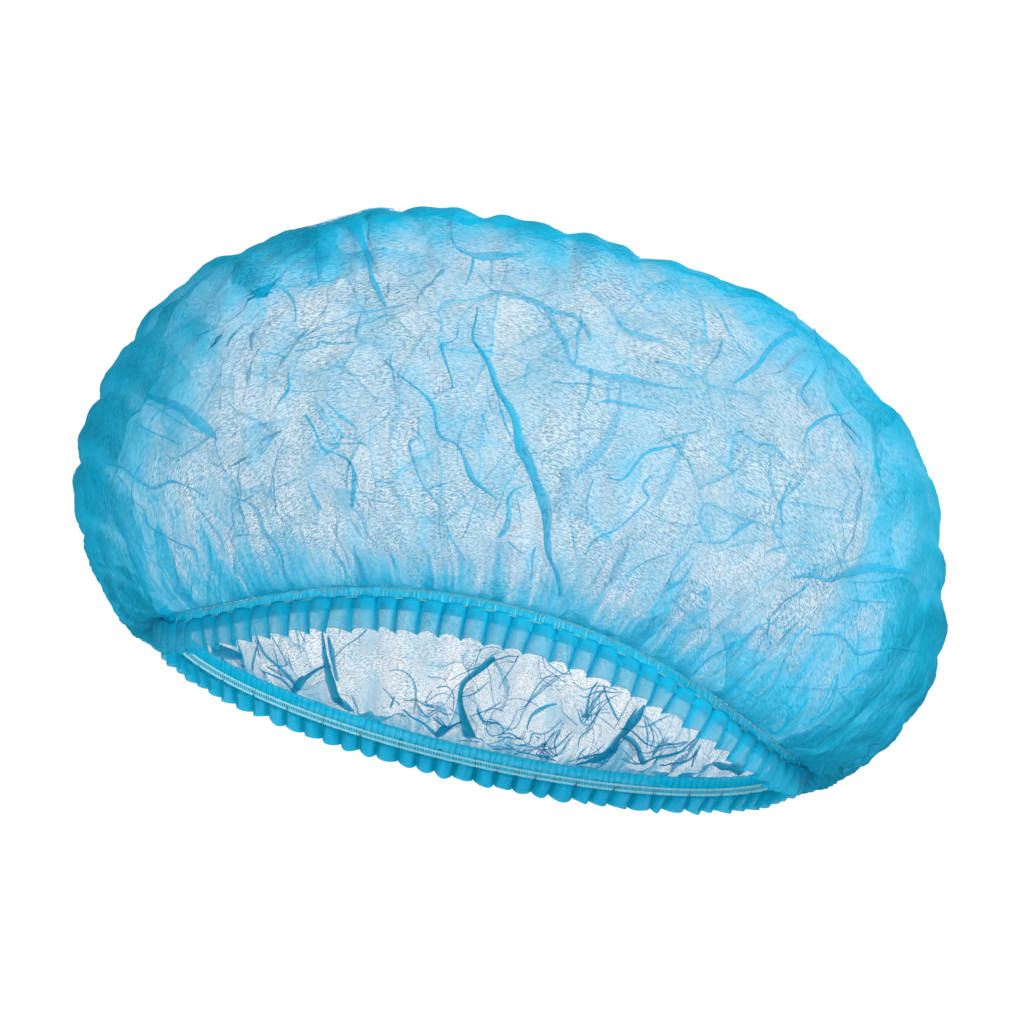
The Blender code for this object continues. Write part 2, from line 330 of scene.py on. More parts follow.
def grid_faces(cells):
    """The four corners of every cell of the grid."""
    corner = np.arange(cells * (cells + 1)).reshape(cells, cells + 1)[:, :-1].ravel()
    return np.stack([corner, corner + cells + 1, corner + cells + 2, corner + 1], -1).tolist()


def placed(name, data):
    """A new object in the scene: a mesh, a lamp or the camera."""
    obj = bpy.data.objects.new(name, data)
    bpy.context.scene.collection.objects.link(obj)
    return obj


def grid_object(name, points, cells):
    """A cloth of square cells over a grid of points."""
    mesh = bpy.data.meshes.new(name)
    mesh.from_pydata(points.tolist(), [], grid_faces(cells))
    return placed(name, mesh)


def at_corners(mesh, values):
    """The points' values, one for each corner of each face."""
    loops = np.empty(len(mesh.loops), np.int32)
    mesh.loops.foreach_get("vertex_index", loops)
    return np.asarray(values)[loops]


def finish_cloth(mesh, layers, places, material):
    """Gives a mesh its finish: how many layers deep the cloth lies at each point, and where
    on the flat cloth each face corner comes from."""
    mesh.polygons.foreach_set("use_smooth", [True] * len(mesh.polygons))
    depth = mesh.attributes.new("layers", "FLOAT", "POINT")
    depth.data.foreach_set("value", np.asarray(layers, np.float32).ravel())
    uv = mesh.uv_layers.new(name="cloth")
    uv.data.foreach_set("uv", np.asarray(places, np.float32).ravel())
    mesh.materials.append(material)


# Main creases, each a path over one side of the crown, in mm: x along the cap, z up. side -1
# is the seen front, +1 the back. deep is how far it is pushed in, wide its half width.
Crease = namedtuple("Crease", "side deep wide path")
CREASES = [
    Crease(-1, 6.0, 4.0, [(-28, 78), (-15, 60), (-6, 47), (4, 30), (12, 8)]),
    Crease(-1, 4.0, 3.5, [(-70, 122), (-61, 95), (-53, 80)]),
    Crease(-1, 4.0, 3.5, [(-33, 105), (-22, 106), (-10, 104)]),
    Crease(-1, 4.5, 3.5, [(-8, 88), (3, 70), (14, 69), (40, 75)]),
    Crease(-1, 4.0, 3.5, [(48, 78), (58, 92), (68, 109)]),
    Crease(-1, 4.5, 4.0, [(86, 34), (101, 42), (116, 52)]),
    Crease(-1, 4.5, 4.0, [(-119, 49), (-105, 42), (-90, 35)]),
    Crease(-1, 3.5, 3.0, [(-123, 31), (-107, 20), (-102, 24), (-89, 17)]),
    Crease(-1, 3.5, 3.0, [(-36, 72), (-31, 62), (-26, 52)]),
    Crease(-1, 4.0, 3.0, [(-44, 58), (-30, 42), (-25, 33), (-8, 27)]),
    Crease(-1, 3.5, 3.0, [(-37, 42), (-29, 29), (-22, 20)]),
    Crease(-1, 3.5, 3.0, [(-7, 28), (0, 26), (-3, 14)]),
    Crease(-1, 4.0, 3.5, [(100, 21), (112, 23), (130, 35)]),
    Crease(-1, 3.5, 3.5, [(80, 2), (95, 8), (110, 13)]),
    Crease(1, 7.0, 3.5, [(-51, 8), (-52, 24), (-56, 38)]),
    Crease(1, 7.0, 3.5, [(-1, 8), (-4, 25), (2, 44)]),
    Crease(1, 7.0, 3.5, [(50, 8), (50, 25), (53, 38)]),
    Crease(1, 4.5, 4.0, [(-84, 100), (-50, 80), (-26, 62)]),
    Crease(1, 4.5, 4.0, [(80, 112), (52, 92), (26, 70)]),
    Crease(1, 4.0, 4.0, [(-10, 125), (-4, 100), (3, 80)]),
    Crease(1, 4.0, 4.0, [(98, 60), (70, 50), (58, 40)]),
]


def path_distance(places, path):
    """Distance from each place to a path of straight runs."""
    nearest = np.full(len(places), np.inf)
    for start, end in zip(path, path[1:]):
        start, run = np.array(start), np.subtract(end, start)
        share = np.clip((places - start) @ run / (run @ run), 0, 1)
        away = np.linalg.norm(places - start - share[:, None] * run, axis=1)
        nearest = np.minimum(nearest, away)
    return nearest


def crease_push(base):
    """How far the main creases push the wall in, in metres."""
    places = base[:, [0, 2]] * 1000
    push = np.zeros(len(base))
    for crease in CREASES:
        facing = np.clip(crease.side * base[:, 1] / HALF_WIDTH / FACING_FADE, 0, 1)
        away = path_distance(places, crease.path)
        push = np.maximum(push, facing * crease.deep / 1000 * np.exp(-(away / crease.wide) ** 2))
    return push


def rumple(x, y, seed, waves, shortest, longest):
    """A smooth random height from -1 to 1 on the disc, from waves between these lengths."""
    random = np.random.default_rng(seed)
    height = np.zeros_like(x)
    for _ in range(waves):
        length = random.uniform(shortest, longest)
        heading = random.uniform(0, 2 * math.pi)
        start = random.uniform(0, 2 * math.pi)
        along = (x * math.cos(heading) + y * math.sin(heading)) * FLAT_RADIUS
        share = (length / longest) ** LONGER_HIGHER
        height += np.cos(2 * math.pi * along / length + start) * share
    return height / np.abs(height).max()


SIM_CELLS = 158
SIM_FRAMES = 14
RUMPLE_DEPTH = 0.0045
BAND_FLUTE_DEPTH = 0.0008
BAND_FLUTE_REACH = 0.10
HOLD_FACE = 0.05
HOLD_RIM = 0.35
RIM_SHARE = 0.22
MOST_MOVE = 0.010
FORM_BLUR = 60
FORM_HOLD = 0.95
FORM_INSET = -0.0001
SEAM_CALM = 0.12
SLIDE_CALM = 0.40
RIM_CALM = 0.8
RIM_CALM_REACH = 1.3
RIM_BLUR = 14
SEAM_EASE = 0.03
FLUTES_ASTRAY = 4.0
INSET_REACH = 0.4
LOBE_FROM = 0.42
LOBE_FADE = 0.22
LOBE_SHARE = 0.55

# How far the rim stands inside the even form, in mm, from the left seam over the top to the
# right one: the cap's outline isn't quite even.
Inset = namedtuple("Inset", "along depth")
RIM_INSET = [
    Inset(along=-1.00, depth=0.0), Inset(along=-0.94, depth=3.0), Inset(along=-0.87, depth=4.5),
    Inset(along=-0.80, depth=3.0), Inset(along=-0.74, depth=0.5), Inset(along=-0.66, depth=1.5),
    Inset(along=-0.56, depth=2.2), Inset(along=-0.46, depth=0.8), Inset(along=-0.30, depth=1.0),
    Inset(along=-0.18, depth=0.0), Inset(along=-0.10, depth=2.2), Inset(along=0.06, depth=3.5),
    Inset(along=0.12, depth=3.5), Inset(along=0.19, depth=1.2), Inset(along=0.50, depth=1.4),
    Inset(along=0.60, depth=4.2), Inset(along=0.66, depth=3.5), Inset(along=0.73, depth=0.5),
    Inset(along=0.79, depth=1.8), Inset(along=0.87, depth=4.8), Inset(along=0.93, depth=4.0),
    Inset(along=1.00, depth=0.0),
]

x, y = disc_places(SIM_CELLS)
radius = np.hypot(x, y)
climb = np.clip(1 - radius, 0, 1)
turn = np.arctan2(y, x)
smooth_wall = crown_shape(climb, even_angle(turn))
outward = grid_normals(smooth_wall, SIM_CELLS)
past_seam = np.clip(climb / SEAM_EASE, 0, 1)
astray = FLUTES_ASTRAY * rumple(x, y, seed=19, waves=40, shortest=0.03, longest=0.12)
gathers = 1 - np.cos(GATHERS * turn + astray)
flutes = BAND_FLUTE_DEPTH * np.exp(-climb / BAND_FLUTE_REACH) * gathers
push = flutes + crease_push(smooth_wall)
push -= RUMPLE_DEPTH * rumple(x, y, seed=7, waves=90, shortest=0.018, longest=0.070)
start_wall = smooth_wall - outward * (push * past_seam)[:, None]


def settle(points):
    """Lets the cloth find its folds: a disc that is wider than the space that the crown gives
    it buckles into tucks and creases, held at the seam and loosely to the crown's form."""
    cloth = grid_object("crown_settling", points, SIM_CELLS)
    cloth.shape_key_add(name="worn")
    flat = cloth.shape_key_add(name="flat")
    flat.data.foreach_set("co", np.stack([x, y, x * 0], -1).ravel() * FLAT_RADIUS)
    hold = cloth.vertex_groups.new(name="hold")
    weights = HOLD_FACE + (HOLD_RIM - HOLD_FACE) * np.exp(-((y / RIM_SHARE) ** 2))
    weights = np.where(radius > 0.9999, 1.0, weights)
    for index, weight in enumerate(weights):
        hold.add([index], float(weight), "REPLACE")
    cloth.modifiers.new("pass_on", "UV_WARP")
    modifier = cloth.modifiers.new("cloth", "CLOTH")
    settings = modifier.settings
    settings.quality = 5
    settings.mass = 0.02
    settings.tension_stiffness = 8
    settings.compression_stiffness = 8
    settings.shear_stiffness = 3
    settings.bending_stiffness = 0.05
    settings.vertex_group_mass = "hold"
    settings.rest_shape_key = flat
    settings.effector_weights.gravity = 0.0
    modifier.point_cache.frame_start = 1
    modifier.point_cache.frame_end = SIM_FRAMES
    for frame_number in range(1, SIM_FRAMES + 1):
        bpy.context.scene.frame_set(frame_number)
    seen = cloth.evaluated_get(bpy.context.evaluated_depsgraph_get())
    settled = bpy.data.meshes.new_from_object(seen)
    places = np.empty(len(settled.vertices) * 3, np.float32)
    settled.vertices.foreach_get("co", places)
    bpy.data.objects.remove(cloth)
    bpy.data.meshes.remove(settled)
    bpy.context.scene.frame_set(1)
    return places.reshape(-1, 3).astype(float)


def even_noise(turn, seed, fewest, most):
    """A random wave round the opening from -1 to 1, with whole numbers of swings."""
    random = np.random.default_rng(seed)
    wave = 0 * turn
    for swings in range(fewest, most + 1):
        wave = wave + random.normal() * np.cos(swings * turn + random.uniform(0, 2 * math.pi))
    return np.clip(wave / (WAVE_LIMIT * math.sqrt((most - fewest + 1) / 2)), -1, 1)


def blurred(values, cells, times):
    """The grid's values evened out over about the square root of this many cells."""
    grid = values.reshape(cells + 1, cells + 1, -1)
    for _ in range(times):
        for axis in (0, 1):
            ends = np.concatenate([grid.take([0], axis), grid, grid.take([-1], axis)], axis)
            before = ends.take(range(cells + 1), axis)
            after = ends.take(range(2, cells + 3), axis)
            grid = (before + 2 * grid + after) / 4
    return grid.reshape(-1, values.shape[-1])


settled_wall = settle(start_wall)
move = settled_wall - smooth_wall
edge = np.exp(-((y / (RIM_CALM_REACH * RIM_SHARE)) ** 2))[:, None] * RIM_CALM
move += edge * (blurred(move, SIM_CELLS, RIM_BLUR) - move)
# Both lobes are evened too, or long folds form along them.
lobe = np.clip((np.abs(x) - LOBE_FROM) / LOBE_FADE, 0, 1) * np.exp(-((y / LOBE_SHARE) ** 4))
move += lobe[:, None] * (blurred(move, SIM_CELLS, FORM_BLUR) - move)
bulge = (move * outward).sum(axis=1, keepdims=True)
move -= outward * blurred(bulge, SIM_CELLS, FORM_BLUR) * FORM_HOLD
far = np.linalg.norm(move, axis=1)
capped = MOST_MOVE * np.tanh(far / MOST_MOVE) / np.maximum(far, 1e-9)
capped *= np.clip(climb / SEAM_CALM, 0, 1) ** 2
move = move * capped[:, None]
straight = outward * (move * outward).sum(axis=1, keepdims=True)
move = straight + (move - straight) * np.clip(climb / SLIDE_CALM, 0, 1)[:, None] ** 2
inset = np.interp(x, *np.array(RIM_INSET).T) / 1000 * np.exp(-((y / INSET_REACH) ** 2))
inset = (FORM_INSET + inset) * past_seam
settled_wall = smooth_wall + move - outward * inset[:, None]


def run_on(points):
    """The points, with one more straight on past each end."""
    return np.concatenate([2 * points[:1] - points[1:2], points, 2 * points[-1:] - points[-2:-1]])


def refined(values, cells):
    """The same grid with twice the cells, on a smooth curve through every point."""
    grid = values.reshape(cells + 1, cells + 1, -1)
    for axis in (0, 1):
        grid = np.moveaxis(grid, axis, 0)
        ends = run_on(grid)
        halves = (9 * (ends[1:-2] + ends[2:-1]) - ends[:-3] - ends[3:]) / 16
        fine = np.empty((2 * len(grid) - 1,) + grid.shape[1:])
        fine[::2], fine[1::2] = grid, halves
        grid = np.moveaxis(fine, 0, axis)
    return grid.reshape(-1, values.shape[-1])


CELLS = SIM_CELLS * 2
RIM_FLUTES = 62
RIM_FLUTE_DEPTH = 0.0014
RIM_CLEAR = 0.10
RIM_FORWARD = 0.20
FLUTES_BEND = 3.0
FLUTE_POWER = 0.8
FLUTE_MEAN = 0.75
FLUTE_UNEVEN = 0.4
CROSS_FLUTES = 0.35
CROSS_PITCH = 1.9
RIPPLE_DEPTH = 0.0014
RIPPLE_OFF_RIM = 0.7

x, y = disc_places(CELLS)
radius = np.hypot(x, y)
climb = np.clip(1 - radius, 0, 1)
turn = np.arctan2(y, x)
past_seam = np.clip(climb / SEAM_EASE, 0, 1)
wall = refined(settled_wall, SIM_CELLS)
outward = grid_normals(wall, CELLS)
from_rim = y + RIM_FORWARD * (1 - x ** 2)
rim = np.exp(-((from_rim / RIM_SHARE) ** 2)) * np.clip(climb / RIM_CLEAR, 0, 1)
swings = RIM_FLUTES * np.arccos(np.clip(x, -1, 1))
swings = swings + FLUTES_BEND * rumple(x, y, seed=3, waves=12, shortest=0.1, longest=0.3)
rim_flutes = 2 * np.abs(np.cos(swings / 2)) ** FLUTE_POWER - 1
uneven = FLUTE_UNEVEN * rumple(x, y, seed=13, waves=12, shortest=0.04, longest=0.12)
rim_flutes = (FLUTE_MEAN + uneven) * rim_flutes
bent = FLUTES_BEND * rumple(x, y, seed=14, waves=12, shortest=0.05, longest=0.15)
rim_flutes += CROSS_FLUTES * np.cos(CROSS_PITCH * swings + bent)
ripple = rumple(x, y, seed=11, waves=120, shortest=0.007, longest=0.014)
lift = RIM_FLUTE_DEPTH * rim * rim_flutes + RIPPLE_DEPTH * (1 - RIPPLE_OFF_RIM * rim) * ripple
wall = wall + outward * (lift * past_seam)[:, None]

# How many layers deep the cloth lies: a belt of folds along the rim, broader on the lobes, and
# a fringe of gathers all along the seam, broader on the right and at the opening's two ends.
RIM_LAYERS = 8.5
RIM_BELT = 0.44
BELT_MIDDLE = 0.34
BELT_OUTWARD = 0.66
BELT_RAGGED = 0.25
BELT_FRAYED = 0.15
BELT_LESS_BEHIND = 0.65
RIM_BELT_FADE = 0.26
FADE_MIDDLE = 0.6
FADE_OUTWARD = 0.4
THINNER = 0.35
THINNER_PLACE = 0.42
THINNER_REACH = 0.22
EVEN_SHARE = 0.68
FLUTE_SHADE_SHARE = 0.32
MIDDLE_SHARE = 0.78
OUTWARD_SHARE = 0.22
SEAM_LAYERS = 6.5
SEAM_REACH = 0.050
SEAM_FADE_POWER = 1.5
WIDE_SPIKES = 0.35
FINE_SPIKES = 0.40
END_POWER = 5
REACH_RIGHT = 0.9
REACH_ENDS = 1.6
STREAK_REACH = 0.11
STREAK_SHARE = 0.22
FEWEST_LAYERS = 0.5
BACK_CRUMPLE = 0.5
BACK_FROM = 0.3
BACK_REACH = 0.35

belt_edge = RIM_BELT * (BELT_MIDDLE + BELT_OUTWARD * np.abs(x) ** 2)
wide_rags = BELT_RAGGED * rumple(x, y, seed=5, waves=24, shortest=0.04, longest=0.14)
fine_rags = BELT_FRAYED * rumple(x, y, seed=6, waves=40, shortest=0.01, longest=0.04)
belt_edge *= 1 + wide_rags + fine_rags
belt_edge *= 1 - BELT_LESS_BEHIND * (from_rim > 0) * (1 - np.abs(x))
belt_fade = RIM_BELT_FADE * (FADE_MIDDLE + FADE_OUTWARD * np.abs(x))
belt = np.clip((belt_edge - np.abs(from_rim)) / belt_fade + 0.5, 0, 1)
belt = belt * belt * (3 - 2 * belt)
# Painted shade: the belt's layers rise and fall with the rim flutes, so the deep-stack darkening
# shades alternate flutes.
belt_layers = RIM_LAYERS * belt * (EVEN_SHARE + FLUTE_SHADE_SHARE * rim_flutes)
belt_layers *= MIDDLE_SHARE + OUTWARD_SHARE * np.abs(x)
belt_layers *= 1 - THINNER * np.exp(-(((x - THINNER_PLACE) / THINNER_REACH) ** 2))
spikes = 1 + WIDE_SPIKES * even_noise(turn, seed=9, fewest=20, most=90)
spikes = spikes + FINE_SPIKES * even_noise(turn, seed=10, fewest=120, most=300)
ends = np.abs(x / np.maximum(radius, 1e-6)) ** END_POWER
reach = SEAM_REACH * spikes * (1 + REACH_RIGHT * np.clip(x, 0, 1) + REACH_ENDS * ends)
layers = 1 + belt_layers + SEAM_LAYERS * np.exp(-((climb / reach) ** SEAM_FADE_POWER))
streaks = even_noise(turn, seed=12, fewest=30, most=120) * np.exp(-((climb / STREAK_REACH) ** 2))
layers = np.maximum(layers * (1 + STREAK_SHARE * streaks), FEWEST_LAYERS)
low_back = np.clip(y / BACK_FROM, 0, 1) * np.exp(-((climb / BACK_REACH) ** 2))
crumpled = 0.5 + rumple(x, y, seed=23, waves=40, shortest=0.015, longest=0.05)
layers += BACK_CRUMPLE * low_back * np.clip(crumpled, 0, 1)

crown = grid_object("crown_cloth", wall, CELLS)
finish_cloth(
    crown.data, layers, at_corners(crown.data, np.stack([x, y], -1) * FLAT_RADIUS),
    spunbond("spunbond_crown", CROWN_BLUE, cover=0.36, fibre_strength=2.05, crease_strength=1.9,
             patchiness=0.55, thin_share=0.88))
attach(crown, "root")
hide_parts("crown")

# The crown's sharp tucks: where the cloth lies folded over on itself it is three layers deep, a
# flat ribbon that narrows to nothing at its ends. The large ones are drawn on the side that the
# camera sees and on the back wall behind the opening; the small ones go anywhere.
CAMERA_BELOW = math.radians(16.5)
CAMERA_DISTANCE = 1.2
CAMERA_TILT = math.radians(13)
LENS = 137.1
SENSOR = 36.0
PHOTO_PIXELS = 1024
FOCAL_PIXELS = PHOTO_PIXELS * LENS / SENSOR
PIXEL = 0.0003077
AIM = Vector((-0.00375, -0.0159, 0.0535))
viewpoint = -CAMERA_DISTANCE * Vector((0, math.cos(CAMERA_BELOW), math.sin(CAMERA_BELOW)))
ahead = (AIM - viewpoint).normalized()
level = ahead.cross(Vector((0, 0, 1))).normalized()
above = level.cross(ahead)
camera_up = above * math.cos(CAMERA_TILT) - level * math.sin(CAMERA_TILT)
camera_right = above * math.sin(CAMERA_TILT) + level * math.cos(CAMERA_TILT)

# Each path is traced over the photo: pixels across and down, and the ribbon's width.
Tuck = namedtuple("Tuck", "layers path")
FRONT_TUCKS = [
    Tuck(4, [(353, 223, 14), (364, 247, 7), (370, 265, 5), (371.4, 278, 5), (379, 294, 5),
        (386, 307, 1.5)]),
    Tuck(4, [(317, 243, 3), (318, 260, 2.5), (318.6, 274, 3), (320, 283, 1)]),
    Tuck(3, [(318.6, 278, 2), (308, 287, 1.5), (297, 294, 1)]),
    Tuck(4, [(266, 278, 1), (282, 289, 2), (291, 296, 3.5), (295, 307, 2), (296, 323, 0.8)]),
    Tuck(3, [(295, 351, 1), (317, 348, 2.5), (318.6, 341, 3.5), (331, 344, 3), (351, 343, 0.8)]),
    Tuck(4, [(288, 365, 1), (288.6, 380, 2), (289.5, 391, 3.5), (278.5, 402, 2.5), (275, 409, 1)]),
    Tuck(2.5, [(291, 391, 1.5), (309.5, 392, 1), (335, 390, 0.8)]),
    Tuck(3.5, [(149, 396, 4), (167, 402, 6), (182, 409, 8), (197, 420, 11), (211, 431, 9),
        (217, 440, 2)]),
    Tuck(3, [(147, 403.5, 0.8), (162, 411, 1), (178, 422, 1.3), (197, 431, 1.2), (211, 438, 0.8)]),
    Tuck(3, [(135, 422, 1), (149, 431, 2), (167, 438, 1.8), (180, 445, 1)]),
    Tuck(4, [(306, 416, 3), (313, 427, 2.5), (318.6, 440, 2.5), (322, 449, 2.2), (335, 453, 1.8),
        (352, 463.8, 2.5), (354, 483, 5), (352, 506, 4)]),
    Tuck(2.5, [(317, 409, 0.8), (326, 424, 1), (337, 444, 1), (352, 464, 1)]),
    Tuck(2, [(169, 332.5, 1), (173, 351, 1.3), (182, 365, 1.3), (193, 380, 0.8)]),
    Tuck(1.4, [(237, 413, 3), (255, 420, 4), (273, 433, 3.5), (286, 444, 1.5)]),
    Tuck(5, [(477.4, 307, 1), (476.5, 318, 2), (473, 331, 3), (473, 340, 3), (478.4, 347, 4),
        (487.5, 360, 5), (493, 374, 6), (498, 389, 5), (507.5, 403.5, 6), (515, 418, 8),
        (518.5, 434, 10), (522, 448, 12), (529, 464, 10), (536, 480, 9), (543, 500, 13),
        (546, 516, 12), (547, 530, 10), (547, 546, 9), (550.4, 559, 7), (556, 571, 6),
        (559, 584, 5), (561, 596, 3)]),
    Tuck(4, [(458, 321.6, 1), (458, 338, 2), (449, 342.5, 2), (441, 344, 4), (443, 352.5, 3),
        (447, 365, 3), (452, 380, 2), (453, 389, 1.5)]),
    Tuck(3, [(453, 387, 1.5), (444, 391, 1.5), (436.5, 394, 1)]),
    Tuck(4, [(383.6, 360, 1), (400, 376, 2), (411, 383.5, 2), (424, 394, 3), (433, 405, 4),
        (435.6, 416, 3), (437.4, 431, 3), (444, 439, 3), (456.5, 443, 2.5), (462, 452, 3),
        (466.4, 462, 4), (470, 474.6, 6), (477, 483.6, 4), (488, 491.6, 3), (497, 500, 1)]),
    Tuck(1.2, [(400, 372, 3), (398.5, 398, 10), (395, 424, 16), (391, 440, 8)]),
    Tuck(1.2, [(400, 369, 1.5), (416, 347, 5), (435, 321, 2)]),
    Tuck(3.5, [(419, 416, 1), (418.5, 430, 1.5), (418, 439, 2), (408.5, 441.5, 3), (413, 457, 2.5),
        (418, 474.6, 2), (425.4, 489, 2), (436, 500, 2.5), (441.4, 510, 3), (439, 523, 2),
        (441.4, 539, 1)]),
    Tuck(3, [(447, 526, 2), (450, 537, 2), (457.5, 548, 1.5), (464.6, 560, 1)]),
    Tuck(2.5, [(429, 489, 2), (447, 483, 2), (456, 480, 1)]),
    Tuck(3, [(451, 220, 2), (452, 240, 2), (458, 249, 3), (471, 254, 5), (482, 256, 10),
        (497, 255.5, 10), (511, 255, 6), (526, 254, 2)]),
    Tuck(3.5, [(473, 258, 3), (471, 271, 3), (465.6, 285, 1)]),
    Tuck(1.5, [(492, 261, 5), (491, 285, 4)]),
    Tuck(1.5, [(507.5, 263, 2), (504, 285, 6)]),
    Tuck(2.5, [(489, 290.6, 2), (518, 296, 8), (544, 307, 9), (549.5, 314.5, 6), (555, 329, 6),
        (564, 341.6, 7), (567.6, 356, 4), (573, 365, 5), (587.6, 371, 8), (606, 377, 11),
        (624, 378, 9), (642, 382, 5), (664, 387, 3), (688, 389, 1.5)]),
    Tuck(2.5, [(549.4, 310, 6), (565, 314, 5), (578.5, 318, 4), (586, 329, 5), (591, 341.6, 2)]),
    Tuck(2.5, [(580.4, 321.6, 3), (576.7, 340, 3), (576.7, 356, 3), (573, 364, 3)]),
    Tuck(3, [(591, 369, 3), (589.5, 391, 3), (582, 412.6, 1)]),
    Tuck(2.2, [(615, 318, 3), (626, 331, 6), (640.5, 336, 9), (659, 341, 8), (671, 347, 4),
        (686, 360, 1.5)]),
    Tuck(1.5, [(606.8, 383, 6), (609.5, 416, 2)]),
    Tuck(1.6, [(621, 383, 2), (617, 416, 8), (604, 445, 14), (598.6, 453, 14), (575, 475, 6)]),
    Tuck(2, [(531, 372, 3), (522, 378, 2.5), (506, 383.5, 1)]),
    Tuck(3, [(482, 414.5, 2), (489, 434, 1.5)]),
    Tuck(3.5, [(497, 394, 1.2), (504, 420, 3), (511, 438, 1)]),
    Tuck(1.5, [(687, 434, 5), (682.5, 442.5, 8), (673.6, 466, 8), (663, 489, 9), (652, 509, 10)]),
    Tuck(3.5, [(527, 485.4, 1), (514.6, 489, 2), (507.5, 499, 4), (509, 510, 4), (507.5, 526, 6),
        (499, 537, 5)]),
    Tuck(3, [(516.4, 496, 1), (520, 512, 1.8), (522, 523, 1)]),
    Tuck(3, [(507.5, 541, 3), (522, 553, 1)]),
    Tuck(3.5, [(536, 546, 1), (531.6, 555, 4), (532.5, 566, 2), (530.7, 580, 3)]),
    Tuck(1.3, [(566, 467, 9), (568, 489, 20), (560, 503, 18), (554, 512, 8)]),
    Tuck(3, [(593, 480, 1.5), (587, 498, 2.5), (587, 516, 1.5)]),
    Tuck(3.5, [(609, 478, 1), (623.6, 480, 2.5), (634, 466, 2.5), (645, 453, 3), (657.5, 449, 4),
        (680, 444, 2)]),
    Tuck(3.2, [(650.4, 476, 2), (643, 485, 3), (645, 492.5, 3), (650.4, 498, 3), (638, 510, 2),
        (625.4, 523, 2), (611, 533, 2), (597, 537, 2), (589.6, 546, 2), (586, 555, 1)]),
    Tuck(1.6, [(629, 544, 2), (620, 564, 9), (611, 584, 5)]),
    Tuck(2, [(602, 564, 1), (593, 584, 3)]),
    Tuck(2.5, [(656, 615, 2), (651, 626, 6), (645, 636, 10)]),
    Tuck(3.5, [(795, 332, 8), (780, 338, 7), (769, 349, 6), (760, 361.5, 5), (749, 372.5, 5),
        (733, 383.5, 1.5)]),
    Tuck(2.2, [(714.6, 307, 3), (722, 316, 3), (727.4, 329, 3), (736.5, 343, 2.5), (751, 360, 1)]),
    Tuck(3, [(816.6, 367, 2), (811, 378, 3), (800, 394, 3), (811, 407, 1)]),
    Tuck(3.5, [(849, 414, 1.5), (829, 415, 3), (817, 422.6, 5), (807.5, 431, 3), (804, 442, 1)]),
    Tuck(3, [(742, 434, 1), (758, 443.5, 3), (773, 446, 4), (791, 465, 1.3)]),
    Tuck(2.5, [(791, 482, 2), (782, 500, 3), (782, 528, 2)]),
    Tuck(2, [(738, 484, 2), (765.6, 502, 1)]),
    Tuck(3.5, [(107, 464, 1), (124, 468, 2), (135, 478, 2.5), (153, 489, 3), (165, 483, 3),
        (174, 481.5, 2.5), (190, 487, 2), (204, 496, 1)]),
    Tuck(3, [(130, 499, 1), (140.4, 506, 2), (146, 513.6, 2.2), (146, 522.4, 2), (155, 531, 2.5),
        (176, 542, 2), (197, 551, 1)]),
    Tuck(2.5, [(231, 497.6, 1), (243.6, 500, 2), (252.4, 506, 2), (259.6, 515, 4), (263, 530, 5),
        (274, 541, 3), (281, 553, 2.5), (284.4, 569, 2), (286, 578, 1)]),
    Tuck(1.8, [(240, 483, 0.8), (251, 501, 1.2), (259.6, 511, 1)]),
    Tuck(2.5, [(307.6, 480, 1), (313, 496, 4), (320, 511, 6)]),
    Tuck(2.5, [(332, 526, 1), (345, 551, 1.5), (350, 569, 1)]),
    Tuck(2.5, [(354, 545, 2), (357, 565, 7), (361, 583, 12)]),
    Tuck(5, [(137, 593, 1.5), (133.5, 607, 3), (131.6, 626, 6)]),
    Tuck(2, [(133, 574, 1.5), (121, 586, 2.5), (112, 599, 1.5)]),
    Tuck(3, [(754, 521, 2.5), (738.6, 529, 4), (723, 543, 2), (694, 542, 1), (687.6, 553, 3),
        (672, 571, 3), (670, 586, 1.5)]),
    Tuck(2.5, [(778, 500, 1), (781, 513, 2), (783, 529, 1)]),
    Tuck(2.5, [(765, 553, 2.5), (783, 546.5, 2), (809, 545, 1)]),
    Tuck(3, [(791, 578, 4), (809, 574, 6), (827, 580, 5), (845, 574, 8), (863, 569, 9),
        (885, 567.5, 7), (907, 573, 4)]),
    Tuck(3, [(845, 582, 1), (871, 582, 1.5), (900, 578.6, 1)]),
    Tuck(3, [(849, 599.6, 1), (865, 601, 3), (889, 602, 1.2)]),
    Tuck(3.5, [(809, 636, 1), (831.6, 634, 2.5), (845, 638.4, 3), (856, 653, 3.5), (871, 652, 3),
        (893.6, 647, 2), (916, 650.6, 1.2)]),
    Tuck(2.5, [(885, 668, 1.5), (865, 670.5, 3), (854, 677, 2), (845, 688, 1.8), (814, 689, 2),
        (787, 686, 1)]),
    Tuck(2.5, [(694, 673, 1), (716, 653, 2), (743, 642, 2), (756, 626, 1.5), (774, 624, 1.5),
        (783, 628.4, 2), (796, 615, 1)]),
    Tuck(2, [(710, 588.6, 2), (699, 597.4, 7)]),
    Tuck(5, [(824, 754.6, 1), (820.5, 772, 2.5), (815, 791, 5)]),
    Tuck(5, [(874, 753, 2), (863, 758, 10), (853, 763, 6)]),
]
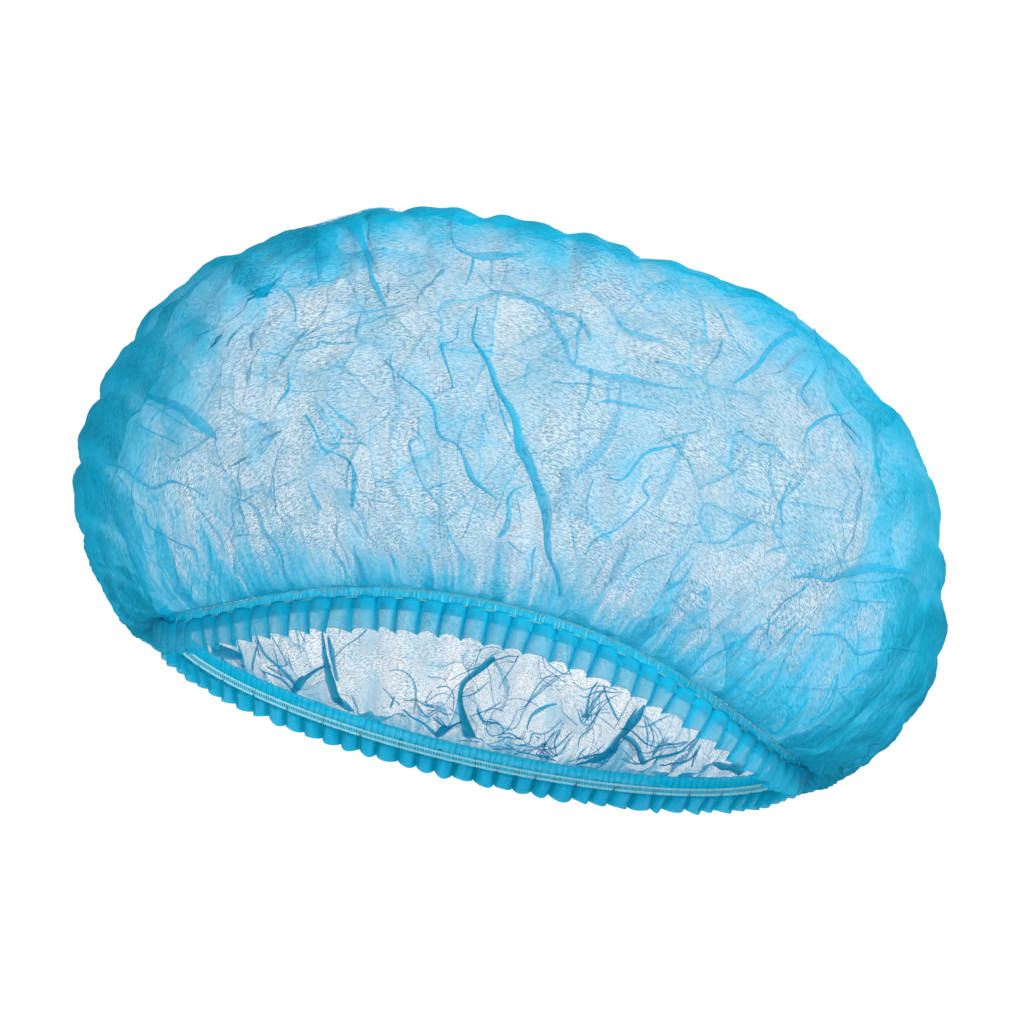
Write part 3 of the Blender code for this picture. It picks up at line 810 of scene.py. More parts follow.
BACK_TUCKS = [
    Tuck(6, [(322, 630, 1.5), (323.5, 646, 4), (326, 664, 5), (330, 678, 8), (334, 691, 12),
        (336, 702, 13)]),
    Tuck(5, [(328, 636, 1.5), (331, 650, 4.5), (334, 665, 5), (337, 680, 8)]),
    Tuck(6, [(336, 697, 9), (345, 707, 10), (356, 714, 6), (368, 719, 2)]),
    Tuck(6, [(326, 666, 3), (315, 671, 5), (306, 676, 6.5), (299, 684, 7), (294, 693, 6)]),
    Tuck(5, [(300, 690, 6), (291, 679, 5), (283, 670, 4), (274, 662, 3), (265, 655, 2.5),
        (259, 644, 2), (257, 637, 1)]),
    Tuck(4, [(253, 669, 2), (254, 655, 2.2), (258, 645, 1.2)]),
    Tuck(4, [(292, 690, 3), (285, 681, 3), (270, 674, 2), (262, 671, 1.5)]),
    Tuck(3, [(335, 657, 1), (345, 646, 1.3), (356, 640, 1.3), (367, 629, 1.5)]),
    Tuck(3, [(358, 713, 2), (357, 703, 1.5), (352, 696, 1)]),
    Tuck(6, [(495, 657, 2), (491, 660, 5), (486, 665, 6.5), (476, 672, 8), (466, 680, 6),
        (460, 690, 5), (459.5, 704, 5), (463, 716, 7), (467, 727, 10), (469, 737, 11)]),
    Tuck(6, [(462, 722, 3), (452, 725, 5), (444, 729, 6.5), (437, 736, 6)]),
    Tuck(5, [(438, 737, 5), (430, 728, 5), (420, 721, 4), (408, 715, 3), (401, 708, 2.5),
        (395, 697, 2), (393, 690, 1)]),
    Tuck(4, [(391, 717, 2), (391, 705, 2), (395, 696, 1.2)]),
    Tuck(3, [(383, 688, 1), (390, 694, 1.5), (398, 702, 1.5), (403, 714, 1)]),
    Tuck(2.5, [(390, 671, 1), (401, 669, 1.3), (411, 677, 1.5), (416, 688, 2), (416, 700, 2),
        (414, 713, 1)]),
    Tuck(3, [(460, 697, 1), (470, 696, 1.3), (480, 690, 1.5), (488, 682, 1)]),
    Tuck(3, [(470, 717, 1), (479, 713, 1.5), (491, 708, 1.3), (501, 702, 1)]),
    Tuck(1.2, [(493, 660, 3), (502, 672, 5), (507, 686, 6), (506, 700, 4), (500, 712, 3)]),
    Tuck(4, [(527, 729, 1), (530, 716, 2.5), (538, 711, 3.5), (546, 706, 3), (557, 704, 1)]),
    Tuck(4, [(520, 744, 1.5), (536, 749, 2.5), (546, 742, 3), (553, 733, 1.5)]),
    Tuck(4, [(505, 743, 1.5), (521, 752, 2.5), (537, 755, 3), (548, 758, 2)]),
    Tuck(2.5, [(508, 700, 1), (520, 698, 1.2), (532, 702, 1.2), (540, 708, 1)]),
    Tuck(6, [(645, 705, 2), (640, 714, 5), (632, 724, 7), (622, 733, 10), (614, 743, 13),
        (609, 753, 14)]),
    Tuck(5, [(637, 708, 1.5), (630, 718, 3), (624, 729, 4)]),
    Tuck(6, [(612, 750, 10), (602, 757, 8), (590, 761, 5), (577, 764, 2)]),
    Tuck(6, [(623, 736, 4), (632, 741, 6.5), (640, 750, 7.5), (644, 762, 7)]),
    Tuck(5, [(642, 764, 6), (650, 759, 4.5), (662, 757, 3.5), (675, 754, 3), (685, 748, 3),
        (692, 741, 2), (696, 738, 1)]),
    Tuck(4, [(603, 684, 1), (606, 696, 1.6), (612, 708, 2), (618, 720, 1.5)]),
    Tuck(4, [(692, 766, 1.5), (696, 752, 2.5), (701, 744, 1)]),
    Tuck(3.5, [(577, 763, 1.5), (580, 752, 1.5), (587, 747, 1)]),
    Tuck(4, [(660, 765, 3), (676, 764, 3), (690, 760, 2), (697, 750, 1)]),
    Tuck(6, [(712, 764, 3), (722, 764, 10), (733, 768, 12), (742, 773, 8)]),
    Tuck(6, [(243, 657, 3), (236, 655, 10), (225, 652, 14), (212, 650, 12)]),
]
TUCK_STEP = 0.0011
TUCK_LIFT = 0.0010
TUCK_BLUR = 10
HORN_DEPTH = 0.0016
RIBBON_ARCH = 0.0004
TUCK_JUMP = 0.006
TUCK_RIBS = (-1.0, -0.5, 0.0, 0.5, 1.0)
TUCK_SHADE = (0.35, 0.75, 0.90, 1.0, 1.15)
HORN_WIDTH = 1.3
HORN_LAYERS_AND_SHADE = 1.5
LAP_REACH = 0.0048
LAP_SHADE_LAYERS = 0.50
LAP_HEIGHT = 0.0010
LAP_FAR_SIDE = 0.3
LAP_LEAST = 0.35
LAP_FULL_DEEP = 3
LAP_FULL_HALF = 0.0007
SOFT_BELOW = 2.2
FEWEST_STEPS = 4
SHORTEST_LINE = 5
LINE_CALMS = 3
LEAST_WIDTH = 0.0002
RAGGED_STEP = 0.004
RAGGED = (0.7, 1.3)

# The small creases. longest and widest are in metres, bend is the turn at each step, limit is
# how near the disc's edge they may come, and layers how deep they lie, at least and at most.
Small = namedtuple("Small", "count strands shortest longest widest bend limit layers")
ANYWHERE = Small(count=80, strands=1, shortest=0.012, longest=0.040, widest=0.0009, bend=0.35,
                 limit=0.94, layers=(1.2, 3.0))
LOW_BACK = Small(count=42, strands=3, shortest=0.012, longest=0.034, widest=0.0006, bend=0.15,
                 limit=0.985, layers=(2.0, 5.0))
BACK_RADII = (0.70, 0.97)
BACK_TURNS = (0.15, 0.85)
FRONT_RADIUS = 0.90
HEADING_SPREAD = 0.7
CURL_SPREAD = 0.35
STRAND_GAP = (0.004, 0.009)
STRAND_FAN = 0.12
SMALL_STEP = 0.006
THINNEST_SMALL = 0.0003
FULL_LENGTH = 0.04
FORK_CHANCE = 0.12
FORK_TURN = (0.6, 1.1)
FORK_LENGTH = 0.6
MOST_FORKS = 2
OFF_RIM = 0.2


def on_wall(x, y, field):
    """The crown's own value at a place on its flat disc, between the grid's points."""
    wide = np.abs(x) > np.abs(y)
    far = np.where(wide, np.sign(x), np.sign(y)) * np.hypot(x, y)
    leaning = np.where(wide, y, x) / np.where(wide, x, np.where(y == 0, 1, y))
    near = np.arctan(leaning) * 4 / math.pi * far
    row = (np.clip(np.where(wide, far, near), -1, 1) + 1) / 2 * CELLS
    column = (np.clip(np.where(wide, near, far), -1, 1) + 1) / 2 * CELLS
    grid = field.reshape(CELLS + 1, CELLS + 1, -1)
    top = np.minimum(row.astype(int), CELLS - 1)
    left = np.minimum(column.astype(int), CELLS - 1)
    down, right = (row - top)[..., None], (column - left)[..., None]
    return ((grid[top, left] * (1 - right) + grid[top, left + 1] * right) * (1 - down)
            + (grid[top + 1, left] * (1 - right) + grid[top + 1, left + 1] * right) * down)


def smooth_rows(rows, steps):
    """Points on a smooth curve through the rows, at even steps from the first to the last."""
    points = np.array(rows, float)
    ends = run_on(points)
    place = np.linspace(0, len(points) - 1, steps)
    whole = np.minimum(place.astype(int), len(points) - 2)
    part = (place - whole)[:, None]
    a, b, c, d = (ends[whole + shift] for shift in range(4))
    return b + part / 2 * (c - a + part * (2 * a - 5 * b + 4 * c - d + part * (3 * (b - c) + d - a)))


def seen_line(tuck, tree, behind):
    """A large tuck's path on the wall that shows there: the nearest one, or the back wall."""
    rows = np.array(tuck.path)
    length = np.linalg.norm(np.diff(rows[:, :2], axis=0), axis=1).sum() * PIXEL
    wider = HORN_WIDTH if behind else 1
    line = []
    for across, down, width in smooth_rows(rows, max(SHORTEST_LINE, int(length / TUCK_STEP))):
        aside = camera_right * (across - PHOTO_PIXELS / 2) + camera_up * (PHOTO_PIXELS / 2 - down)
        heading = (ahead * FOCAL_PIXELS + aside).normalized()
        origin = viewpoint + heading * 2 * CAMERA_DISTANCE if behind else viewpoint
        place = tree.ray_cast(origin, -heading if behind else heading)[0]
        if place and (place[1] > 0) == behind:
            line.append((*place, width * PIXEL * wider))
    return line


def small_lines(random, kind, surface):
    """Short creases that start anywhere on the crown, or low on its back wall, bend and fork."""
    starts = []
    for _ in range(kind.count):
        if kind is LOW_BACK:
            radius = random.uniform(*BACK_RADII)
            place = random.uniform(*BACK_TURNS) * math.pi
            heading = place + random.normal(0, HEADING_SPREAD)
            length = random.uniform(kind.shortest, kind.longest)
            curl = random.normal(0, CURL_SPREAD)
        else:
            radius = FRONT_RADIUS * math.sqrt(random.uniform(0, 1))
            place = random.uniform(0, 2 * math.pi)
            heading = random.uniform(0, 2 * math.pi)
            length = random.uniform(kind.shortest, kind.longest)
            curl = 0
        for strand in range(kind.strands):
            turned = place + strand * random.uniform(*STRAND_GAP)
            along, across = radius * math.cos(turned), radius * math.sin(turned)
            starts.append((along, across, heading + STRAND_FAN * strand, length, 0, curl))
    found = []
    while starts:
        along, across, heading, length, age, curl = starts.pop()
        width = random.uniform(THINNEST_SMALL, kind.widest) * (0.5 + length / FULL_LENGTH)
        rows = []
        steps = max(FEWEST_STEPS, int(length / SMALL_STEP))
        for step in range(steps):
            share = step / (steps - 1)
            rows.append((along, across, width * (0.2 + math.sin(math.pi * (0.1 + 0.8 * share)))))
            heading += random.normal(curl, kind.bend)
            along += SMALL_STEP * math.cos(heading) / FLAT_RADIUS
            across += SMALL_STEP * math.sin(heading) / FLAT_RADIUS
            if age < MOST_FORKS and random.uniform(0, 1) < FORK_CHANCE:
                turned = heading + random.choice([-1, 1]) * random.uniform(*FORK_TURN)
                starts.append((along, across, turned, length * FORK_LENGTH, age + 1, curl))
        farthest = max(math.hypot(row[0], row[1]) for row in rows)
        if farthest < kind.limit and min(abs(row[1]) for row in rows) > OFF_RIM:
            rows = smooth_rows(rows, int(steps * 5))
            places = on_wall(rows[:, 0], rows[:, 1], surface)
            found.append((random.uniform(*kind.layers), np.column_stack([places, rows[:, 2]])))
    return found


cell_faces = grid_faces(CELLS)
even_wall = blurred(wall, CELLS, TUCK_BLUR)
even_outward = grid_normals(even_wall, CELLS)
outer_wall = even_wall + even_outward * TUCK_LIFT
outer_tree = BVHTree.FromPolygons(outer_wall.tolist(), cell_faces)
inner_wall = even_wall - even_outward * HORN_DEPTH
inner_tree = BVHTree.FromPolygons(inner_wall.tolist(), cell_faces)
random = np.random.default_rng(17)
lines = [(tuck.layers, outer_tree, seen_line(tuck, outer_tree, False)) for tuck in FRONT_TUCKS]
# The tucks on the back wall lie deeper than listed: denser, and through the deep-stack darkening
# also painted shade for the shade inside the cap.
lines += [(tuck.layers * HORN_LAYERS_AND_SHADE, inner_tree, seen_line(tuck, inner_tree, True))
          for tuck in BACK_TUCKS]
for kind, surface, tree in ((ANYWHERE, outer_wall, outer_tree),
                            (LOW_BACK, inner_wall, inner_tree)):
    lines += [(deep, tree, line) for deep, line in small_lines(random, kind, surface)]
wall_points = KDTree(len(wall))
for index, point in enumerate(wall.tolist()):
    wall_points.insert(point, index)
wall_points.balance()
lap_and_shade = np.zeros(len(wall))
ribbon_points, ribbon_faces, ribbon_layers, ribbon_places = [], [], [], []
for deep, tree, line in lines:
    line = np.array(line)
    if len(line) > 1:
        jumps = np.linalg.norm(np.diff(line[:, :3], axis=0), axis=1) > TUCK_JUMP
        line = max(np.split(line, np.flatnonzero(jumps) + 1), key=len)
    if len(line) < FEWEST_STEPS:
        continue
    for _ in range(LINE_CALMS):
        line[1:-1, :3] = (line[:-2, :3] + 2 * line[1:-1, :3] + line[2:, :3]) / 4
    halves = np.maximum(line[:, 3], LEAST_WIDTH) / 2
    centres = line[:, :3]
    ways = np.gradient(centres, axis=0)
    run = np.concatenate([[0], np.cumsum(np.linalg.norm(np.diff(centres, axis=0), axis=1))])
    start = random.uniform(-0.2, 0.2, 2)
    knots = np.linspace(0, run[-1], max(FEWEST_STEPS, int(run[-1] / RAGGED_STEP)))
    ragged = [np.interp(run, knots, random.uniform(*RAGGED, len(knots))) for _ in range(2)]
    soft = min(max(SOFT_BELOW - deep, 0), 1)
    side = random.choice([-1, 1])
    shade = TUCK_SHADE[::side]
    strength = min(deep / LAP_FULL_DEEP, 1)
    strength *= min(max(halves.max() / LAP_FULL_HALF, LAP_LEAST), 1)
    first = len(ribbon_points)
    ribs = len(TUCK_RIBS)
    for step, (centre, way, half, distance) in enumerate(zip(centres, ways, halves, run)):
        centre = Vector(centre)
        normal = tree.find_nearest(centre)[1]
        across = Vector(way).cross(normal).normalized()
        for rib, share in zip(TUCK_RIBS, shade):
            beside = rib * half * ragged[rib > 0][step]
            place, normal = tree.find_nearest(centre + across * beside)[:2]
            ribbon_points.append(place + normal * RIBBON_ARCH * (1 - rib * rib))
            ribbon_layers.append(deep * share * (1 - soft * rib * rib))
            ribbon_places.append((start[0] + distance, start[1] + beside))
        if step % 2:
            continue
        # The lap on one side of each tuck: extra layers, which are also painted shade, and a small
        # lift.
        for place, index, away in wall_points.find_range(centre, 2 * LAP_REACH):
            lap_and_shade_here = 1.0 if (place - centre).dot(across) * side < 0 else LAP_FAR_SIDE
            lap_and_shade_here *= strength * math.exp(-(away / LAP_REACH) ** 2)
            lap_and_shade[index] = max(lap_and_shade[index], lap_and_shade_here)
    for step in range(len(line) - 1):
        for rib in range(ribs - 1):
            here = first + step * ribs + rib
            ribbon_faces.append((here, here + ribs, here + ribs + 1, here + 1))

ribbon_mesh = bpy.data.meshes.new("crown_tucks")
ribbon_mesh.from_pydata(ribbon_points, [], ribbon_faces)
finish_cloth(
    ribbon_mesh, ribbon_layers, at_corners(ribbon_mesh, ribbon_places),
    spunbond("spunbond_tucks", CROWN_BLUE, cover=0.34, fibre_strength=1.5, crease_strength=0.0,
             patchiness=0.3, thin_share=0.88))
tucks = placed("crown_tucks", ribbon_mesh)
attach(tucks, "root")
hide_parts("crown")
# The cloth that laps onto a tuck lies double on one side of it, a little proud of the rest.
# The extra layers there are also painted shade beside the tuck.
wall = wall + outward * (LAP_HEIGHT * lap_and_shade)[:, None]
crown.data.vertices.foreach_set("co", wall.astype(np.float32).ravel())
lapped_and_shaded_layers = (layers + LAP_SHADE_LAYERS * lap_and_shade).astype(np.float32)
crown.data.attributes["layers"].data.foreach_set("value", lapped_and_shaded_layers)
crown.data.update()

# The elastic casing: the cap's edge is turned in over a round elastic and sewn down, so this
# strip is the crown's own cloth twice over, drawn up into fine puckers by the elastic. The cap
# comes packed as a strip 50 cm long with the elastic along both its sides: that is its edge.
# Painted light: the casing is the crown's own cloth but has a brighter blue than the crown, to lift
# the shade of its puckers under the crown's overhang.
CASING_LIT_BLUE = (0.004, 0.665, 0.870, 1.0)
BAND_DEPTH = 0.0019
OPENING_LENGTH = band_high[0] - BAND_DEPTH
OPENING_WIDTH = band_high[1] - BAND_DEPTH
BAND_TOP = 0.0041
BAND_BOTTOM = -0.0026
BAND_SHEET_GAP = 0.0006
PUCKERS = GATHERS * 3
BAND_COLUMNS = PUCKERS * 10
BAND_ROWS = 9
PUCKER_DEPTH = 0.00115
PUCKERS_ASTRAY = 1.2
PUCKER_SWAY = 0.5
SWAYS_UP = 7
SWAYS_ROUND = 90
PUCKER_MEAN = 0.85
PUCKER_UNEVEN = 0.15
PUCKER_FLATTER_UP = 0.3
BAND_LEAN = 0.0004
BAND_LAYERS = 3.0
PUCKER_LAYERS = 0.5
TOP_LAYERS_LESS = 1.2
TOP_POWER = 6
INNER_CLOTH_AWAY = 0.03


def opening_points(turn, out, height):
    """Points this far out from the inside of the head opening."""
    angle = even_angle(turn)
    hang = front_sag(angle)
    return np.stack([
        (OPENING_LENGTH + out) * np.cos(angle),
        (OPENING_WIDTH + out) * np.sin(angle) + FRONT_PULL * hang,
        height - FRONT_DROP * hang,
    ], -1)


def doubled_ring(name, sheet, gap, layers, material):
    """A closed ring of two sheets this far apart, from the rows and columns of its outer one."""
    rows, columns = sheet.shape[:2]
    along = np.roll(sheet, -1, axis=1) - np.roll(sheet, 1, axis=1)
    down = np.gradient(sheet, axis=0)
    out = np.cross(down, along)
    out /= np.maximum(np.linalg.norm(out, axis=-1), 1e-12)[..., None]
    centre = sheet.mean(axis=(0, 1))
    if ((sheet - centre) * out)[..., :2].sum() < 0:
        out = -out
    inner = sheet - out * gap[:, None, None]
    loop = np.concatenate([sheet, inner[::-1]])
    count = len(loop)
    ring = np.arange(count)
    column = np.arange(columns)
    here, beside = np.meshgrid(ring, column, indexing="ij")
    below, next_one = (here + 1) % count, (beside + 1) % columns
    corners = [here * columns + beside, below * columns + beside,
               below * columns + next_one, here * columns + next_one]
    faces = np.stack([corner.ravel() for corner in corners], -1)
    mesh = bpy.data.meshes.new(name)
    mesh.from_pydata(loop.reshape(-1, 3).tolist(), [], faces.tolist())
    step = np.linalg.norm(np.roll(sheet, -1, axis=1) - sheet, axis=-1).max(axis=0)
    run = np.concatenate([[0], np.cumsum(step)])
    height = np.concatenate([sheet[:, 0, 2], inner[::-1, 0, 2] + INNER_CLOTH_AWAY])
    rise = np.stack([height[here], height[here], height[here], height[here]], -1)
    rise[..., 1] = rise[..., 2] = height[below]
    side = np.stack([run[beside], run[beside], run[beside + 1], run[beside + 1]], -1)
    depth = np.concatenate([layers, layers[::-1]])
    finish_cloth(mesh, depth, np.stack([side, rise], -1), material)
    return placed(name, mesh)


turn = np.arange(BAND_COLUMNS) * 2 * math.pi / BAND_COLUMNS
up = np.linspace(1, 0, BAND_ROWS)[:, None]
stray = PUCKERS_ASTRAY * even_noise(turn, seed=21, fewest=20, most=GATHERS)
stray = stray + PUCKER_SWAY * np.sin(SWAYS_UP * up + SWAYS_ROUND * turn)
pucker = (1 + np.cos(PUCKERS * turn + stray)) / 2
uneven = PUCKER_MEAN + PUCKER_UNEVEN * even_noise(turn, seed=22, fewest=10, most=2 * GATHERS)
stand = PUCKER_DEPTH * pucker * uneven * (1 - PUCKER_FLATTER_UP * up)
height = BAND_BOTTOM + (BAND_TOP - BAND_BOTTOM) * up
band_sheet = opening_points(turn[None, :] + 0 * up, BAND_SHEET_GAP + BAND_LEAN * up + stand, height)
band_layers = BAND_LAYERS + PUCKER_LAYERS * pucker - TOP_LAYERS_LESS * up ** TOP_POWER
band_gap = np.full(BAND_ROWS, BAND_SHEET_GAP)
casing_cloth = spunbond("spunbond_casing", CASING_LIT_BLUE, cover=0.40, fibre_strength=0.5,
                        crease_strength=0.0, patchiness=0.2, thin_share=0.8)
band = doubled_ring("elastic_casing", band_sheet, band_gap, band_layers, casing_cloth)
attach(band, "root")
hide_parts("elastic_band")

# The stitches that hold the casing: two rows right through it. The needle thread shows outside
# as worn ochre dashes with fine rungs between, the looper thread inside as two pale chains that
# slanting threads join. One tree lays a thread loop at every stitch of a row.
NEEDLE_ROWS = (0.0031, 0.0004)
CHAIN_ROWS = (-0.0004, -0.0022)
NEEDLE_OUT = 0.0021
CHAIN_OUT = -0.00012
DASH = 0.0038
CHAIN_LINK = 0.00092
RUNG = 0.0012
ROW_POINTS = 720
OCHRE = (0.13, 0.36, 0.31, 1.0)
PALE = (0.42, 0.78, 0.80, 1.0)


def stitch_tree():
    """Geometry nodes: a thread loop at every stitch along a closed line, some left out."""
    tree = bpy.data.node_groups.new("stitch_row", "GeometryNodeTree")
    for name, kind in (("Row", "Geometry"), ("Pitch", "Float"), ("Length", "Float"),
                       ("Width", "Float"), ("Thread", "Float"), ("Slant", "Float"),
                       ("Left Out", "Float"), ("Seed", "Int"), ("Paint", "Material")):
        tree.interface.new_socket(name, in_out="INPUT", socket_type="NodeSocket" + kind)
    tree.interface.new_socket("Stitches", in_out="OUTPUT", socket_type="NodeSocketGeometry")
    add = named_nodes(tree)
    given = add("NodeGroupInput").outputs
    line = add("GeometryNodeMeshToCurve", Mesh=given["Row"]).outputs[0]
    line = add("GeometryNodeSetCurveNormal", {"mode": "Z_UP"}, Curve=line).outputs[0]
    line = add("GeometryNodeResampleCurve", {"mode": "LENGTH"}, Curve=line,
               Length=given["Pitch"]).outputs[0]
    ahead = add("GeometryNodeInputTangent").outputs[0]
    outward = add("GeometryNodeInputNormal").outputs[0]
    laid = add("FunctionNodeAlignRotationToVector", {"axis": "X"}, Vector=ahead).outputs[0]
    laid = add("FunctionNodeAlignRotationToVector", {"axis": "Z", "pivot_axis": "X"},
               Rotation=laid, Vector=outward).outputs[0]
    slant = add("FunctionNodeRandomValue", {"data_type": "FLOAT"}, i2=0.85, i3=1.15,
                Seed=given["Seed"]).outputs[1]
    slant = maths(add, "MULTIPLY", slant, given["Slant"])
    slanted = add("ShaderNodeCombineXYZ", Z=slant).outputs[0]
    slanted = add("FunctionNodeEulerToRotation", Euler=slanted).outputs[0]
    laid = add("FunctionNodeRotateRotation", {"rotation_space": "LOCAL"}, Rotation=laid,
               Rotate_By=slanted).outputs[0]
    kept = add("FunctionNodeRandomValue", {"data_type": "FLOAT"}, i2=0.0, i3=1.0,
               Seed=given["Seed"]).outputs[1]
    kept = add("FunctionNodeCompare", {"operation": "GREATER_THAN"}, A=kept,
               B=given["Left Out"]).outputs[0]
    loop = add("GeometryNodeCurvePrimitiveCircle", Resolution=10, Radius=0.5).outputs[0]
    shape = add("ShaderNodeCombineXYZ", X=given["Length"], Y=given["Width"], Z=1.0).outputs[0]
    loop = add("GeometryNodeTransform", Geometry=loop, Scale=shape).outputs[0]
    round_thread = add("GeometryNodeCurvePrimitiveCircle", Resolution=5,
                       Radius=given["Thread"]).outputs[0]
    loop = add("GeometryNodeCurveToMesh", Curve=loop, Profile_Curve=round_thread).outputs[0]
    stitches = add("GeometryNodeInstanceOnPoints", Points=line, Selection=kept, Instance=loop,
                   Rotation=laid).outputs[0]
    stitches = add("GeometryNodeRealizeInstances", Geometry=stitches).outputs[0]
    stitches = add("GeometryNodeSetMaterial", Geometry=stitches, Material=given["Paint"])
    add("NodeGroupOutput", Stitches=stitches.outputs[0])
    return tree


def thread_paint(name, colour):
    """A plain thread of this colour."""
    material = bpy.data.materials.new(name)
    material.use_nodes = True
    shader = material.node_tree.nodes["Principled BSDF"]
    shader.inputs["Base Color"].default_value = colour
    shader.inputs["Roughness"].default_value = 0.55
    shader.inputs["Specular IOR Level"].default_value = 0.2
    return material


def stitch_row(tree, out, height, **inputs):
    """The plain mesh of one row of stitches round the opening, as vertices and faces."""
    turn = np.arange(ROW_POINTS) * 2 * math.pi / ROW_POINTS
    ends = np.arange(ROW_POINTS)
    mesh = bpy.data.meshes.new("row")
    mesh.from_pydata(opening_points(turn, out, height).tolist(),
                     np.stack([ends, (ends + 1) % ROW_POINTS], -1).tolist(), [])
    row = placed("row", mesh)
    modifier = row.modifiers.new("stitches", "NODES")
    modifier.node_group = tree
    for item in tree.interface.items_tree:
        if item.name in inputs:
            modifier[item.identifier] = inputs[item.name]
    seen = row.evaluated_get(bpy.context.evaluated_depsgraph_get())
    made = bpy.data.meshes.new_from_object(seen)
    bpy.data.objects.remove(row)
    return made


def joined_piece(name, meshes):
    """One object from these meshes, which all carry one material."""
    points, faces, first = [], [], 0
    for mesh in meshes:
        points += [tuple(vertex.co) for vertex in mesh.vertices]
        faces += [tuple(first + corner for corner in face.vertices) for face in mesh.polygons]
        first = len(points)
    whole = bpy.data.meshes.new(name)
    whole.from_pydata(points, [], faces)
    whole.polygons.foreach_set("use_smooth", [True] * len(faces))
    whole.materials.append(meshes[0].materials[-1])
    piece = placed(name, whole)
    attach(piece, "root")
    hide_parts("elastic_band")
    return piece


tree = stitch_tree()
ochre = thread_paint("thread_ochre", OCHRE)
pale = thread_paint("thread_pale", PALE)
needle_rows = [
    stitch_row(tree, NEEDLE_OUT, height, Pitch=DASH, Length=DASH * 0.94, Width=0.00018,
               Thread=0.00010, Slant=0.02, Seed=seed, Paint=ochre, **{"Left Out": 0.30})
    for seed, height in enumerate(NEEDLE_ROWS)
]
needle_thread = joined_piece("needle_thread", needle_rows)
chain_gap = CHAIN_ROWS[0] - CHAIN_ROWS[1]
looper_rows = [
    stitch_row(tree, CHAIN_OUT, height, Pitch=CHAIN_LINK, Length=CHAIN_LINK * 1.05,
               Width=0.00032, Thread=0.00010, Slant=0.60, Seed=5, Paint=pale, **{"Left Out": 0.0})
    for height in CHAIN_ROWS
]
looper_rows.append(
    stitch_row(tree, CHAIN_OUT - 0.0001, sum(CHAIN_ROWS) / 2, Pitch=CHAIN_LINK,
               Length=chain_gap * 1.1, Width=0.00008, Thread=0.00004, Slant=1.15, Seed=8,
               Paint=pale, **{"Left Out": 0.0}))
looper_rows.append(
    stitch_row(tree, NEEDLE_OUT - 0.0001, sum(NEEDLE_ROWS) / 2, Pitch=RUNG,
               Length=0.0025, Width=0.00003, Thread=0.00003, Slant=1.45, Seed=9,
               Paint=pale, **{"Left Out": 0.72}))
looper_thread = joined_piece("looper_thread", looper_rows)

# The frill: what is left of the turned-in hem below the stitches, two layers thick with a soft
# fold at the bottom. Each gather stands out as a round pleat, with a dense fold beside it.
frill_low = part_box("ruffle")[0]
HEM_BLUE = (0.004, 0.560, 0.780, 1.0)
FRILL_TOP = 0.0008
FRILL_BOTTOM = frill_low[2]
FRILL_ROWS = 12
FRILL_STEPS = 28
FRILL_SHEET_GAP = 0.00035
FRILL_TAPER = 0.0036
PLEAT_TOP = 0.0016
PLEAT_HEM = 0.0043
HEM_LIFT = 0.0008
TURNED_IN = 2.0
BACK_LIFT = 0.0004
BACK_FLATTER = 0.40
BACK_POWER = 0.5
PLEAT_POWER = 0.8
PLEAT_UNEVEN = 0.12
PLEAT_LEAN = 0.22
FRILL_OUT = 0.0009
TAPER_POWER = 1.5
FRILL_SWING = 0.00025
SWINGS_DOWN = 5
SWINGS_ROUND = 40
HEM_UNEVEN = 0.05
HEM_RAGGED = 0.5
TOP_REACH = 0.24
FOLD_REACH_MORE = 0.24
TOP_FADE_POWER = 1.4
HEM_LAYERS = 1.2
TOP_LAYERS = 2.3
FOLD_LAYERS = 1.8
FOLD_REACH = 0.10
HEM_CLOSED = 0.985
HEM_CLOSED_POWER = 6
Fold = namedtuple("Fold", "along out")
HALF_PLEAT = [
    Fold(along=0.000, out=1.00),
    Fold(along=0.125, out=0.95),
    Fold(along=0.235, out=0.82),
    Fold(along=0.325, out=0.64),
    Fold(along=0.395, out=0.46),
    Fold(along=0.448, out=0.27),
    Fold(along=0.480, out=0.11),
    Fold(along=0.500, out=0.00),
]


half = smooth_rows(HALF_PLEAT, FRILL_STEPS // 2 + 1)
pleat = np.concatenate([half[:-1], (np.array([1, 0]) + half * np.array([-1, 1]))[:0:-1]])
places = np.arange(GATHERS)[:, None] + pleat[None, :, 0]
turn = (places * 2 * math.pi / GATHERS).ravel()
stand = np.tile(pleat[:, 1], GATHERS)
down = np.linspace(0, 1, FRILL_ROWS)[:, None]
uneven = even_noise(turn, seed=31, fewest=10, most=GATHERS)
lean = even_noise(turn, seed=32, fewest=6, most=60) * 2 * math.pi / GATHERS
depth = PLEAT_TOP + (PLEAT_HEM - PLEAT_TOP) * down ** PLEAT_POWER
back = np.clip(np.sin(turn), 0, 1) ** BACK_POWER
depth = depth * (1 + PLEAT_UNEVEN * uneven) * (1 - BACK_FLATTER * back)
out = FRILL_OUT - FRILL_TAPER * down ** TAPER_POWER + depth * stand
swing = FRILL_SWING * np.sin(SWINGS_DOWN * down + SWINGS_ROUND * turn)
shorter = 1 + HEM_UNEVEN * uneven - HEM_UNEVEN
height = FRILL_TOP + (FRILL_BOTTOM - FRILL_TOP) * down * shorter
height = height + back * (HEM_LIFT * down ** 2 * (1 - stand) + BACK_LIFT * down)
frill_sheet = opening_points(turn[None, :] + PLEAT_LEAN * lean * down, out + swing, height)
ragged = 1 + HEM_RAGGED * even_noise(turn, seed=33, fewest=60, most=300)
reach = (TOP_REACH + FOLD_REACH_MORE * (1 - stand ** 2)) * ragged
beside = np.abs(np.tile(pleat[:, 0], GATHERS) - 0.5)
frill_layers = HEM_LAYERS + TOP_LAYERS * np.exp(-((down / reach) ** TOP_FADE_POWER))
frill_layers = frill_layers + FOLD_LAYERS * np.exp(-((beside / FOLD_REACH) ** 2))
